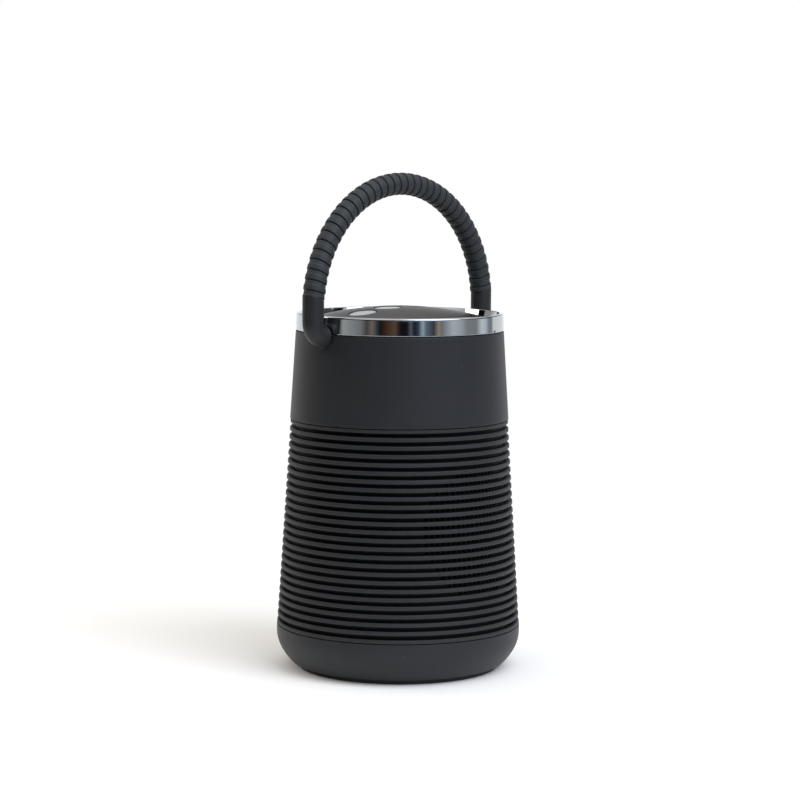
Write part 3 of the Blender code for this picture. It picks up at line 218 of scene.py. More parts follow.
def carved(mesh, tools):
    """Mesh data with each tool bmesh cut from it."""
    body = loose("carve", from_bmesh(mesh))
    others = []
    for tool in tools:
        bmesh.ops.recalc_face_normals(tool, faces=tool.faces)
        other = loose("tool", from_bmesh(tool))
        others.append(other)
        step = body.modifiers.new("cut", "BOOLEAN")
        step.operation, step.solver, step.object = "DIFFERENCE", "EXACT", other
    data = bake(body)
    for other in others:
        bpy.data.objects.remove(other)
    return data


# ---- node tools --------------------------------------------------------------------------------

def linear(colour):
    """sRGB hex text as linear RGBA."""
    result = []
    for i in (0, 2, 4):
        c = int(colour[i:i + 2], 16) / 255
        result.append(c / 12.92 if c <= 0.04045 else ((c + 0.055) / 1.055) ** 2.4)
    return (*result, 1.0)


def add(tree, kind, links=None, values=None, **settings):
    """Adds one node: settings on the node, values and links on its inputs."""
    node = tree.nodes.new(kind)
    for key, value in settings.items():
        setattr(node, key, value)
    for key, value in (values or {}).items():
        node.inputs[key].default_value = value
    for key, output in (links or {}).items():
        tree.links.new(output, node.inputs[key])
    return node


def mixed(tree, factor, a, b):
    """Colour between a and b, each sRGB hex text or an output."""
    node = add(tree, "ShaderNodeMix", {"Factor": factor}, data_type="RGBA")
    for key, value in (("A", a), ("B", b)):
        if isinstance(value, str):
            node.inputs[key].default_value = linear(value)
        else:
            tree.links.new(value, node.inputs[key])
    return node.outputs["Result"]


def spread_over(tree, value, socket, low, high):
    """Drives a socket from low to high as value goes from 0 to 1."""
    span = add(tree, "ShaderNodeMapRange", {"Value": value}, {"To Min": low, "To Max": high})
    tree.links.new(span.outputs["Result"], socket)


def bumped(tree, shader, height, distance, strength=1.0):
    bump = add(tree, "ShaderNodeBump", {"Height": height}, {"Strength": strength, "Distance": distance})
    tree.links.new(bump.outputs["Normal"], shader.inputs["Normal"])


def colour_ramp(tree, value, marks):
    """Colour by value through (position, sRGB hex text) marks."""
    ramp = add(tree, "ShaderNodeValToRGB", {"Fac": value})
    stops = ramp.color_ramp.elements
    while len(stops) < len(marks):
        stops.new(0.5)
    for stop, (position, colour) in zip(stops, marks):
        stop.position = position
    for stop, (position, colour) in zip(stops, marks):
        stop.color = linear(colour)
    return ramp.outputs["Color"]


def new_material(name, values=None):
    look = bpy.data.materials.new(name)
    look.use_nodes = True
    tree = look.node_tree
    shader = tree.nodes["Principled BSDF"]
    for key, value in (values or {}).items():
        shader.inputs[key].default_value = linear(value) if isinstance(value, str) else value
    place = add(tree, "ShaderNodeTexCoord").outputs["Object"]
    return look, tree, shader, place


SOFT_GLOSS = 0.34


def moulded(name, dark, light, roughness, spread, grain, height, blotch=9.0, specks=None, gloss=0.5):
    """Moulded plastic or rubber: slow tone drift, fine moulded grain (mm) and optional pale dust specks."""
    look, tree, shader, place = new_material(name, {"Specular IOR Level": gloss})
    drift = add(tree, "ShaderNodeTexNoise", {"Vector": place}, {"Scale": 1 / (blotch * MM), "Detail": 4.0})
    tone = mixed(tree, drift.outputs["Fac"], dark, light)
    grit = add(tree, "ShaderNodeTexNoise", {"Vector": place}, {"Scale": 1 / (grain * MM), "Detail": 3.0})
    if specks:
        apart, size, share, pale = specks  # mm between cells, radius and share of cells with a speck, colour
        cells = add(tree, "ShaderNodeTexVoronoi", {"Vector": place}, {"Scale": 1 / (apart * MM)})
        near = add(tree, "ShaderNodeMath", {0: cells.outputs["Distance"]}, {1: size}, operation="LESS_THAN")
        pick = add(tree, "ShaderNodeSeparateColor", {"Color": cells.outputs["Color"]})
        some = add(tree, "ShaderNodeMath", {0: pick.outputs["Red"]}, {1: share}, operation="LESS_THAN")
        both = add(tree, "ShaderNodeMath", {0: near.outputs[0], 1: some.outputs[0]}, operation="MULTIPLY")
        tone = mixed(tree, both.outputs[0], tone, pale)
    tree.links.new(tone, shader.inputs["Base Color"])
    spread_over(tree, grit.outputs["Fac"], shader.inputs["Roughness"], roughness - spread, roughness + spread)
    bumped(tree, shader, grit.outputs["Fac"], height * MM, 0.5)
    return look


def paint_groove_shade(look):
    """Paints shade into the ribbed sleeve: darker and less glossy with depth below its crests."""
    tree = look.node_tree
    shader = tree.nodes["Principled BSDF"]
    split = add(tree, "ShaderNodeSeparateXYZ", {"Vector": tree.nodes["Texture Coordinate"].outputs["Object"]})
    flat = add(tree, "ShaderNodeCombineXYZ", {"X": split.outputs["X"], "Y": split.outputs["Y"]})
    radius = add(tree, "ShaderNodeVectorMath", {0: flat.outputs["Vector"]}, operation="LENGTH")
    crest = add(tree, "ShaderNodeMapRange", {"Value": split.outputs["Z"]},
                {"From Min": SEAM_LOW, "From Max": SEAM_HIGH, "To Min": RIB_LOW_R, "To Max": RIB_TOP_R})
    depth = add(tree, "ShaderNodeMath", {0: crest.outputs["Result"], 1: radius.outputs["Value"]},
                operation="SUBTRACT")
    # Painted shade: colour runs towards near-black and gloss drops with depth in each groove
    groove_shade = add(tree, "ShaderNodeMapRange", {"Value": depth.outputs[0]},
               {"From Min": 0.4 * MM, "From Max": 1.2 * MM})
    base = shader.inputs["Base Color"]
    tree.links.new(mixed(tree, groove_shade.outputs["Result"], base.links[0].from_socket, "101011"), base)
    spread_over(tree, groove_shade.outputs["Result"], shader.inputs["Specular IOR Level"], SOFT_GLOSS, 0.12)


def metal(name, colour, roughness, spread, grain, height, stretch=(1, 1, 1)):
    """Bare or plated metal with fine directional marks."""
    look, tree, shader, place = new_material(name, {"Base Color": colour, "Metallic": 1.0})
    turn = add(tree, "ShaderNodeMapping", {"Vector": place}, {"Scale": stretch})
    marks = add(tree, "ShaderNodeTexNoise", {"Vector": turn.outputs["Vector"]},
                {"Scale": 1 / (grain * MM), "Detail": 5.0})
    spread_over(tree, marks.outputs["Fac"], shader.inputs["Roughness"],
                max(roughness - spread, 0.01), roughness + spread)
    bumped(tree, shader, marks.outputs["Fac"], height * MM, 0.3)
    return look


def woven(name, dark, light, thread):
    """Plain-woven polyester screen: over-and-under threads."""
    look, tree, shader, place = new_material(name, {"Roughness": 0.85})
    split = add(tree, "ShaderNodeSeparateXYZ", {"Vector": place})
    waves = []
    for axis in ("X", "Z"):
        turn = add(tree, "ShaderNodeMath", {0: split.outputs[axis]}, {1: math.pi / (thread * MM)},
                   operation="MULTIPLY")
        waves.append(add(tree, "ShaderNodeMath", {0: turn.outputs[0]}, operation="SINE").outputs[0])
    weave = add(tree, "ShaderNodeMath", dict(enumerate(waves)), operation="MULTIPLY")
    level = add(tree, "ShaderNodeMapRange", {"Value": weave.outputs[0]}, {"From Min": -1.0})
    tree.links.new(mixed(tree, level.outputs["Result"], dark, light), shader.inputs["Base Color"])
    bumped(tree, shader, weave.outputs[0], 0.05 * MM)
    return look


def make_materials():
    """All finishes of the speaker, by plain name."""
    looks = {}
    # Soft-touch painted ABS: matt charcoal that catches light in a broad, even sheen.
    looks["soft_abs"] = moulded("soft-touch ABS", "1E2023", "25272A", 0.5, 0.05, 0.22, 0.02, 12,
                                (2.6, 0.035, 0.35, "8E9092"), SOFT_GLOSS)
    # Ribbed TPE overmould: a little warmer and flatter than the shell, dusty on the crests; painted shade darkens
    # its grooves.
    looks["rib_tpe"] = moulded("ribbed TPE", "222326", "292A2C", 0.55, 0.06, 0.25, 0.02, 10,
                               (2.4, 0.035, 0.3, "8A8B8C"), SOFT_GLOSS)
    paint_groove_shade(looks["rib_tpe"])
    # Foot rubber: dull grey-black.
    looks["rubber"] = moulded("moulded rubber", "1F2021", "272829", 0.75, 0.05, 0.3, 0.03, 6)
    # Chrome-plated ABS: mirror bright with the faint waviness of plated plastic.
    looks["chrome"] = metal("chrome-plated ABS", "B8BDC1", 0.04, 0.015, 14.0, 0.02)
    # Satin lacquered panel: warm dark grey that brightens at a low angle.
    looks["panel"] = moulded("satin lacquered ABS", "1C1813", "211C17", 0.33, 0.04, 0.3, 0.006, 14, None, 0.36)
    # Vacuum-metallised buttons: fine silver satin.
    looks["silver"] = metal("metallised ABS", "EEF2F5", 0.3, 0.05, 0.4, 0.006)
    # Hose TPE: matt blue-grey black.
    looks["hose"] = moulded("hose TPE", "2B2E30", "323537", 0.6, 0.06, 0.3, 0.025, 7,
                            (2.8, 0.05, 0.2, "85878A"), SOFT_GLOSS)
    # Elbow nylon: moulded, slightly smoother than the hose.
    looks["nylon"] = moulded("moulded nylon", "1F2022", "262729", 0.48, 0.06, 0.3, 0.03, 8,
                             (2.6, 0.05, 0.3, "86888A"), SOFT_GLOSS)
    looks["zinc"] = metal("zinc-plated steel", "B7B9BA", 0.32, 0.08, 0.5, 0.01, (1, 1, 6))
    looks["acetal"] = moulded("natural acetal", "DCDBD6", "E6E5E1", 0.4, 0.04, 0.4, 0.01)
    looks["silicone"] = moulded("grey silicone", "686A6C", "747678", 0.62, 0.04, 0.4, 0.01)
    looks["board"] = moulded("solder mask over copper", "173B28", "1F4A33", 0.38, 0.05, 1.2, 0.02, 3)
    looks["paper"] = moulded("doped cone paper", "201F1E", "2B2A28", 0.82, 0.06, 0.35, 0.06, 3)
    looks["ferrite"] = moulded("sintered ferrite", "2A2826", "35322F", 0.62, 0.08, 0.5, 0.05, 4)
    looks["pressed"] = metal("e-coated pressed steel", "3C3E40", 0.45, 0.08, 0.8, 0.02)
    looks["foam"] = moulded("closed-cell foam", "323232", "3E3E3E", 0.92, 0.04, 0.5, 0.12, 2)
    looks["screen"] = woven("woven polyester screen", "060606", "141414", 0.25)
    looks["wrap"] = moulded("shrink film", "235282", "2C5E8F", 0.3, 0.05, 2.0, 0.02)
    return looks


# ---- ribbed sleeve and its sound holes ---------------------------------------------------------

def groove_heights():
    """(upper, lower) edges of every groove, top to bottom."""
    top, low = SLEEVE_TOP - LIP_HEIGHT, SLEEVE_LOW + LIP_HEIGHT
    pitch = (top - low + RIB_HEIGHT) / (RIB_COUNT + 1)
    return [(top - pitch * g, top - pitch * g - pitch + RIB_HEIGHT) for g in range(RIB_COUNT + 1)]


def holes_in_groove(g):
    """Number of sound holes in a groove, or 0 outside the round patch."""
    rows = groove_heights()
    middle = sum(rows[len(rows) // 2]) / 2
    height = sum(rows[g]) / 2
    inside = PATCH_R ** 2 - (height - middle) ** 2
    if inside <= 0:
        return 0
    half = math.sqrt(inside) / (crest_r(height) - RIB_DEPTH)
    return 2 * round(half / HOLE_STEP) if half > PATCH_LEAST else 0


def sleeve_in_r(z):
    return crest_r(z) - RIB_DEPTH - SLEEVE_WALL


def build_sleeve(look):
    """Ribs with rounded crests; where the holes go, groove floor and inner wall are left open."""
    grooves = list(enumerate(groove_heights()))
    corners = [(crest_r(SLEEVE_TOP), SLEEVE_TOP, LIP_ROUND)]
    for g, (upper, lower) in grooves:
        corners += [(crest_r(upper), upper, RIB_ROUND), (crest_r(upper) - RIB_DEPTH, upper, 0),
                    (crest_r(lower) - RIB_DEPTH, lower, 0), (crest_r(lower), lower, RIB_ROUND)]
    corners.append((crest_r(SLEEVE_LOW), SLEEVE_LOW, LIP_ROUND))
    ends = [(sleeve_in_r(z), z) for z in (SLEEVE_LOW, SLEEVE_TOP)]
    outer = rounded(corners + [(*end, 0) for end in ends])[:-2]
    inner = ends[:1]
    floors, walls = {}, {}  # rows of faces to open, by groove
    for g, (upper, lower) in reversed(grooves):
        if holes_in_groove(g):
            floors[outer.index((crest_r(upper) - RIB_DEPTH, upper))] = g
            walls[len(outer) + len(inner)] = g
            inner += [(sleeve_in_r(lower), lower), (sleeve_in_r(upper), upper)]
    inner += ends[1:]
    per_hole = round(HOLE_STEP / (2 * math.pi / ROUND))
    front = ROUND * 3 // 4

    def open_face(i, n):
        g = floors.get(n, walls.get(n))
        if g is None:
            return False
        reach = holes_in_groove(g) // 2 * per_hole
        return front - reach <= i < front + reach

    mesh = turned(outer + inner, ROUND, open_face)
    finish_piece("rib_sleeve", mesh, [look], "housing", ["ribbed_sleeve"])


def hole_cell(radius, height):
    """One bridge of groove floor with a round hole through the wall, facing +X, for a given floor radius."""
    mesh = bmesh.new()
    inner = radius - SLEEVE_WALL
    inside_r, lead_in = HOLE_R - 0.05 * MM, 0.06 * MM
    spokes = [(math.cos(a), math.sin(a)) for a in (2 * math.pi * k / HOLE_SIDES for k in range(HOLE_SIDES))]

    def frame_ring(x):
        half = x * math.tan(HOLE_STEP / 2)
        ring = []
        for c, s in spokes:
            m = max(abs(c), abs(s))
            ring.append(mesh.verts.new((x, half * c / m, height / 2 * s / m)))
        return ring

    def circle(x, r):
        return [mesh.verts.new((x, r * c, r * s)) for c, s in spokes]

    rings = [frame_ring(radius), circle(radius, HOLE_R), circle(radius - lead_in, inside_r),
             circle(inner, inside_r), frame_ring(inner)]
    for a, b in zip(rings, rings[1:]):
        for k in range(HOLE_SIDES):
            m = (k + 1) % HOLE_SIDES
            mesh.faces.new((a[k], a[m], b[m], b[k]))
    mesh.transform(Matrix.Translation((-radius, 0, 0)))
    return mesh


def geometry_tree(name, inputs, output):
    """Empty Geometry Nodes tree with (name, kind, value) inputs and one geometry output."""
    tree = bpy.data.node_groups.new(name, "GeometryNodeTree")
    for label, kind, value in inputs:
        socket = tree.interface.new_socket(label, in_out="INPUT", socket_type="NodeSocket" + kind)
        if value is not None:
            socket.default_value = value
    tree.interface.new_socket(output, in_out="OUTPUT", socket_type="NodeSocketGeometry")
    return tree


def scatter_tree(name, look):
    """Geometry Nodes tree: copies of a piece on points, turned and stretched by point attributes."""
    tree = geometry_tree(name, [("Points", "Geometry", None), ("Piece", "Object", None)], "Result")
    source = add(tree, "NodeGroupInput")
    piece = add(tree, "GeometryNodeObjectInfo", {"Object": source.outputs["Piece"]})
    turn = add(tree, "GeometryNodeInputNamedAttribute", values={"Name": "turn"}, data_type="FLOAT_VECTOR")
    stretch = add(tree, "GeometryNodeInputNamedAttribute", values={"Name": "stretch"}, data_type="FLOAT_VECTOR")
    copies = add(tree, "GeometryNodeInstanceOnPoints",
                 {"Points": source.outputs["Points"], "Instance": piece.outputs["Geometry"],
                  "Rotation": turn.outputs["Attribute"], "Scale": stretch.outputs["Attribute"]})
    solid = add(tree, "GeometryNodeRealizeInstances", {"Geometry": copies.outputs["Instances"]})
    paint = add(tree, "GeometryNodeSetMaterial", {"Geometry": solid.outputs["Geometry"]}, {"Material": look})
    add(tree, "NodeGroupOutput", {"Result": paint.outputs["Geometry"]})
    return tree


def scattered(name, unit, spots, look):
    """Realised copies of a unit bmesh at (position, euler, stretch) spots."""
    points = bpy.data.meshes.new(name + "_points")
    points.from_pydata([spot[0] for spot in spots], [], [])
    for key, index in (("turn", 1), ("stretch", 2)):
        layer = points.attributes.new(key, "FLOAT_VECTOR", "POINT")
        for n, spot in enumerate(spots):
            layer.data[n].vector = spot[index]
    carrier = loose(name + "_carrier", points)
    part = loose(name + "_unit", from_bmesh(unit))
    tree = scatter_tree(name + "_tree", look)
    step = carrier.modifiers.new("scatter", "NODES")
    step.node_group = tree
    step[next(item.identifier for item in tree.interface.items_tree if item.name == "Piece")] = part
    data = bake(carrier)
    bpy.data.objects.remove(part)
    return data


def build_sound_holes(look):
    """Perforated bridges of groove floor, fifteen grooves high, that make up the round patch."""
    rows = groove_heights()
    middle_r = crest_r(sum(rows[len(rows) // 2]) / 2) - RIB_DEPTH
    height = rows[0][0] - rows[0][1]
    tilt = math.atan((RIB_LOW_R - RIB_TOP_R) / (SEAM_HIGH - SEAM_LOW))
    unit = hole_cell(middle_r, height)
    unit.transform(Matrix.Rotation(-tilt, 4, "Y"))
    spots = []
    for g, (upper, lower) in enumerate(rows):
        count = holes_in_groove(g)
        z = (upper + lower) / 2
        r = (crest_r(z) - RIB_DEPTH) * math.cos(math.pi / ROUND)
        for k in range(count):
            a = -math.pi / 2 + HOLE_STEP * (k - (count - 1) / 2)
            spots.append(((r * math.cos(a), r * math.sin(a), z), (0, 0, a), (1, r / middle_r, 1)))
    data = scattered("sound_holes", unit, spots, look)
    finish_piece("sound_holes", data, [look], "housing", ())


# ---- base, foot, shell, ring -------------------------------------------------------------------

def build_base(looks):
    """Cup whose lower edge draws in along a soft curve, and the foot ring in its seat."""
    top, low = SEAM_LOW - SEAM / 2, CUP_LOW
    wide = skin_r(top)
    bend, draw, wall, steps = 11.4 * MM, 5.75 * MM, CUP_WALL, 24
    seat, seat_in, seat_z = FOOT_R + SEAM, FOOT_INNER_R - SEAM, FOOT_TOP + SEAM
    corners = [(wide, top, 0.15 * MM)]
    for i in range(steps + 1):
        share = i / steps
        corners.append((wide - draw * share ** 2, low + bend * (1 - share), 0.0 if i < steps else 0.25 * MM))
    corners += [(seat, low, 0.1 * MM), (seat, seat_z, 0), (seat_in, seat_z, 0), (seat_in, low, 0.2 * MM)]
    floor = low + CUP_WALL
    corners += [(0, low, 0), (0, floor, 0), (wide - draw - wall, floor + 0.4 * MM, 2 * MM)]
    spigot = sleeve_in_r(SEAM_LOW + 3.6 * MM) - SEAM
    spigot_in = spigot - SPIGOT_WALL
    corners += [(wide - wall, low + 12 * MM, 3 * MM), (wide - wall, top - wall, 0)]
    corners += [(spigot_in, top - wall, 0)]
    corners += [(spigot_in, CUP_TOP, 0.3 * MM), (spigot, CUP_TOP, 0.3 * MM), (spigot, top, 0)]
    shape = turned(rounded(corners, 4), ROUND)
    roof, mouth = low + 1.5 * MM, low - 1 * MM
    bores = []
    for n in range(1, 5):
        a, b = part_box("base_screw_%d" % n)
        bore = turned([(0, roof), (2.4 * MM, roof), (2.6 * MM, mouth), (0, mouth)], 40)
        bore.transform(Matrix.Translation(((a[0] + b[0]) / 2, (a[1] + b[1]) / 2, 0)))
        bores.append(bore)
    data = carved(shape, bores)
    finish_piece("base_bowl", data, [looks["soft_abs"]], "housing", ["base_cup"])
    ring = [(FOOT_R, FOOT_TOP, 0), (FOOT_R, 0, 0.5 * MM)]
    for r in FOOT_GROOVES:
        ring += [(r + 0.4 * MM, 0, 0.1 * MM), (r + 0.3 * MM, GROOVE_DEPTH, 0.1 * MM)]
        ring += [(r - 0.3 * MM, GROOVE_DEPTH, 0.1 * MM), (r - 0.4 * MM, 0, 0.1 * MM)]
    ring += [(FOOT_INNER_R, 0, 0.4 * MM), (FOOT_INNER_R, FOOT_TOP, 0)]
    mesh = turned(rounded(ring, 3), ROUND)
    finish_piece("foot_pad", mesh, [looks["rubber"]], "housing", ["foot_ring"])


def stadium(width, height, z, near, far, steps=16):
    """Round-ended prism along Y."""
    mesh = bmesh.new()
    radius, straight = height / 2, (width - height) / 2
    outline = []
    for side in (1, -1):
        for k in range(steps + 1):
            a = math.pi / 2 - math.pi * k / steps
            outline.append((side * (straight + radius * math.cos(a)), side * radius * math.sin(a)))
    layers = [[mesh.verts.new((x, y, z + h)) for x, h in outline] for y in (near, far)]
    mesh.faces.new(layers[0])
    mesh.faces.new(layers[1])
    for i in range(len(outline)):
        j = (i + 1) % len(outline)
        mesh.faces.new((layers[0][i], layers[0][j], layers[1][j], layers[1][i]))
    return mesh


def pivot_bore():
    """Cutter for the handle's two pins, right through along X."""
    bore = turned([(0, REACH), (PIN_BORE, REACH), (PIN_BORE, -REACH), (0, -REACH)], 40)
    bore.transform(Matrix.Translation((0, 0, PIVOT.z)) @ Matrix.Rotation(math.pi / 2, 4, "Y"))
    return bore


def build_shell(look):
    """Smooth upper shell with the port window and the handle bores."""
    low, top, wall, steps = SEAM_HIGH + SEAM / 2, SHELL_TOP, SHELL_WALL, 24
    spigot = sleeve_in_r(SEAM_HIGH) - SEAM
    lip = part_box("upper_shell")[0][2]
    corners = [(skin_r(top) - wall, top, 0), (skin_r(top), top, 0.35 * MM)]
    for i in range(1, steps):
        z = top + (low - top) * i / steps
        corners.append((skin_r(z), z, 0))
    corners += [(skin_r(low), low, 0.15 * MM), (spigot, low, 0), (spigot, lip, 0.3 * MM)]
    corners += [(spigot - SPIGOT_WALL, lip, 0.3 * MM), (spigot - SPIGOT_WALL, low + wall, 0)]
    corners += [(skin_r(low) - wall, low + wall + 2 * MM, 0)]
    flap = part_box("port_flap")
    window = stadium(PORT_W, PORT_H, (flap[0][2] + flap[1][2]) / 2, 20 * MM, REACH)
    data = carved(turned(rounded(corners, 3), ROUND), [window, pivot_bore()])
    finish_piece("top_shell", data, [look], "housing", ["upper_shell"])


def build_ring(look):
    """Chromed ring with a rolled crest and a finished inner wall."""
    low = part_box("trim_ring")[0][2]
    seat = SHELL_TOP + SEAM
    wide = skin_r(seat)
    skirt = wide - 2.5 * MM
    skirt_in = skirt - 1.3 * MM
    ledge = RING_TOP - 4.7 * MM  # underside of the shelf that the panel sits on
    corners = [(RING_R, RING_TOP, RING_ROUND), (wide, seat, 0.25 * MM)]
    corners += [(skirt, seat, 0), (skirt, low, 0.2 * MM)]
    corners += [(skirt_in, low, 0.2 * MM), (skirt_in, ledge, 0), (RING_SEAT_R, ledge, 0.1 * MM)]
    corners += [(RING_SEAT_R, GUTTER_Z, 0.3 * MM), (RING_INNER_R, RING_TOP, 0.35 * MM)]
    data = carved(turned(rounded(corners, 8), ROUND), [pivot_bore()])
    finish_piece("chrome_ring", data, [look], "housing", ["trim_ring"])


# ---- control top -------------------------------------------------------------------------------

def button_centres():
    boxes = [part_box("button_%d" % n) for n in range(1, 5)]
    return [(a[0] + b[0]) / 2 for a, b in boxes]


def build_panel(look):
    """Shallow dome in a sunken gutter, with a crisp well for each button."""
    steps, inner_steps, inner_r = 40, 12, 29.2 * MM
    corners = [(r, dome_z(r), 0) for r in (DOME_R * i / steps for i in range(steps))]
    corners += [(DOME_R, dome_z(DOME_R), 0.35 * MM), (DOME_R + 0.15 * MM, GUTTER_Z, 0.3 * MM)]
    corners += [(PANEL_R, GUTTER_Z, 0.1 * MM), (PANEL_R, PANEL_UNDER, 0), (30 * MM, PANEL_UNDER, 0)]
    for i in range(inner_steps, -1, -1):
        r = inner_r * i / inner_steps
        corners.append((r, dome_z(r, PANEL_WALL), 0))
    shape = turned(rounded(corners, 5), ROUND)
    tools = []
    well = BUTTON_R + BUTTON_GAP
    for x in button_centres():
        top = dome_z(abs(x))
        above, below = top + 4 * MM, top - 6 * MM
        outline = [(0, above), (well + 4.35 * MM, above), (well + 0.18 * MM, top - 0.1 * MM),
                   (well, top - 0.32 * MM), (well, below), (0, below)]
        tool = turned(outline, 96)
        slope = x / DOME_SPHERE_R
        tool.transform(Matrix.Translation((x, 0, 0)))
        for vertex in tool.verts:
            if vertex.co.z > top - 1 * MM:
                vertex.co.z -= slope * (vertex.co.x - x)
        tools.append(tool)
    data = carved(shape, tools)
    finish_piece("control_dome", data, [look], "housing", ["top_panel"], 25)


def build_buttons(looks):
    """Four plain crowned caps, each with a retaining lip under the dome."""
    sides = 96
    for n, x0 in enumerate(button_centres()):
        low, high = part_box("button_%d" % (n + 1))
        lip = (high[0] - low[0]) / 2
        lip_top = dome_z(abs(x0) + lip, PANEL_WALL) - SEAM - BUTTON_PLAY
        mesh = bmesh.new()
        rows = []
        rims = [(BUTTON_R * s, None, 0.0) for s in (0.2, 0.45, 0.7, 0.88, 0.955)]
        rims += [(BUTTON_R * 0.985, None, 0.06 * MM), (BUTTON_R, None, 0.22 * MM), (BUTTON_R, lip_top, 0),
                 (lip, lip_top, 0), (lip, low[2], 0)]
        crown = mesh.verts.new((x0, 0, dome_z(abs(x0), BUTTON_SINK)))
        for radius, height, drop in rims:
            ring = []
            for k in range(sides):
                a = 2 * math.pi * k / sides
                x, y = x0 + radius * math.cos(a), radius * math.sin(a)
                z = dome_z(math.hypot(x, y), BUTTON_SINK) - drop if height is None else height
                ring.append(mesh.verts.new((x, y, z)))
            rows.append(ring)
        for k in range(sides):
            m = (k + 1) % sides
            mesh.faces.new((crown, rows[0][k], rows[0][m]))
            for a, b in zip(rows, rows[1:]):
                mesh.faces.new((a[k], b[k], b[m], a[m]))
        mesh.faces.new(rows[-1][::-1])
        bmesh.ops.recalc_face_normals(mesh, faces=mesh.faces)
        finish_piece("push_button_%d" % (n + 1), mesh, [looks["silver"]],
                     "button_%d_cap" % (n + 1), ["button_%d" % (n + 1)])


# ---- handle ------------------------------------------------------------------------------------

def arch_points(start_z, count=160):
    """Centreline of the hose, one leg to the other over the arch."""
    begin = math.asin((start_z - ARCH_Z) / ARCH_RISE)
    result = []
    for i in range(count + 1):
        a = begin + (math.pi - 2 * begin) * i / count
        result.append(Vector((-LEG_X * math.cos(a), 0, ARCH_Z + ARCH_RISE * math.sin(a))))
    return result


# One ring of the hose, as share of its pitch and of its depth: slot, lip, shoulder, neck
GRIP_PROFILE = ((0.042, 0.0), (0.083, 0.92), (0.125, 1.0), (0.458, 0.98), (0.5, 0.96), (0.542, 0.9), (0.583, 0.8),
                (0.625, 0.72), (0.667, 0.69), (0.958, 0.64))


def hose_tree(look):
    """Geometry Nodes tree: sweeps a circle whose radius steps ring by ring along the path."""
    tree = geometry_tree("ringed_hose", [
        ("Path", "Geometry", None), ("Rings", "Float", float(GRIP_RINGS)), ("Crest Radius", "Float", GRIP_R),
        ("Groove Radius", "Float", GROOVE_R), ("Steps per Ring", "Int", GRIP_STEPS),
        ("Sides", "Int", GRIP_SIDES)], "Hose")
    source = add(tree, "NodeGroupInput")
    total = add(tree, "ShaderNodeMath", {0: source.outputs["Rings"], 1: source.outputs["Steps per Ring"]},
                operation="MULTIPLY")
    count = add(tree, "ShaderNodeMath", {0: total.outputs[0]}, {1: 1.0}, operation="ADD")
    path = add(tree, "GeometryNodeResampleCurve", {"Curve": source.outputs["Path"], "Count": count.outputs[0]})
    along = add(tree, "GeometryNodeSplineParameter")
    step = add(tree, "ShaderNodeMath", {0: along.outputs["Factor"], 1: source.outputs["Rings"]},
               operation="MULTIPLY")
    shifted = add(tree, "ShaderNodeMath", {0: step.outputs[0]}, {1: GRIP_PHASE}, operation="ADD")
    part = add(tree, "ShaderNodeMath", {0: shifted.outputs[0]}, operation="FRACT")
    shape = add(tree, "ShaderNodeFloatCurve", {"Value": part.outputs[0]})
    curve = shape.mapping.curves[0]
    curve.points[0].location = (0.0, 0.0)
    curve.points[1].location = (1.0, 0.0)
    for x, y in GRIP_PROFILE:
        curve.points.new(x, y)
    for point in curve.points:
        point.handle_type = "VECTOR"
    shape.mapping.update()
    radius = add(tree, "ShaderNodeMapRange",
                 {"Value": shape.outputs["Value"], "To Min": source.outputs["Groove Radius"],
                  "To Max": source.outputs["Crest Radius"]})
    circle = add(tree, "GeometryNodeCurvePrimitiveCircle", {"Resolution": source.outputs["Sides"]},
                 {"Radius": 1.0})
    sized = add(tree, "GeometryNodeSetCurveRadius", {"Curve": path.outputs["Curve"], "Radius": radius.outputs[0]})
    sweep = add(tree, "GeometryNodeCurveToMesh",
                {"Curve": sized.outputs["Curve"], "Profile Curve": circle.outputs["Curve"]}, {"Fill Caps": True})
    if "Scale" in sweep.inputs:  # newer releases take the size here, not from the curve's radius
        tree.links.new(radius.outputs[0], sweep.inputs["Scale"])
    solid = add(tree, "GeometryNodeRealizeInstances", {"Geometry": sweep.outputs["Mesh"]})
    paint = add(tree, "GeometryNodeSetMaterial", {"Geometry": solid.outputs["Geometry"]}, {"Material": look})
    add(tree, "NodeGroupOutput", {"Hose": paint.outputs["Geometry"]})
    return tree


def build_elbow(name, side, look):
    """Quarter bend from its round end at the rim up to a plain collar that takes the hose."""
    low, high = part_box("handle_elbow_" + name)
    start = min(abs(low[0]), abs(high[0]))
    bend = LEG_X - start
    stations = []
    for inset, back in ((0.75, 0.0), (0.28, 0.06), (0.08, 0.2), (0.0, 0.45)):
        stations.append((start + back * MM, PIVOT.z, 0.0, ELBOW_END_R - inset * MM))
    for i in range(2, 25):
        turn = math.pi / 2 * i / 24
        radius = ELBOW_END_R + (ELBOW_R - ELBOW_END_R) * min(1.0, i / 16)
        stations.append((start + bend * math.sin(turn), PIVOT.z + bend * (1 - math.cos(turn)), turn, radius))
    for back, inset in ((3.0, 0.0), (0.6, 0.0), (0.25, 0.06), (0.08, 0.2), (0.0, 0.42)):
        stations.append((LEG_X, ELBOW_TOP - back * MM, math.pi / 2, ELBOW_R - inset * MM))
    path = [Vector((side * x, 0, z)) for x, z, turn, radius in stations]
    headings = [Vector((side * math.cos(turn), 0, math.sin(turn))) for x, z, turn, radius in stations]
    mesh = swept(path, headings, [station[3] for station in stations], 72, ELBOW_BORE, PARTING_LINE)
    for vertex in mesh.verts:
        if vertex.co.z > ELBOW_TOP - ELBOW_CUT_DEPTH:
            vertex.co.z += ELBOW_CUT * (side * vertex.co.x - LEG_X)
    finish_piece("elbow_" + name, mesh, [look], "handle", ["handle_elbow_" + name], 40)


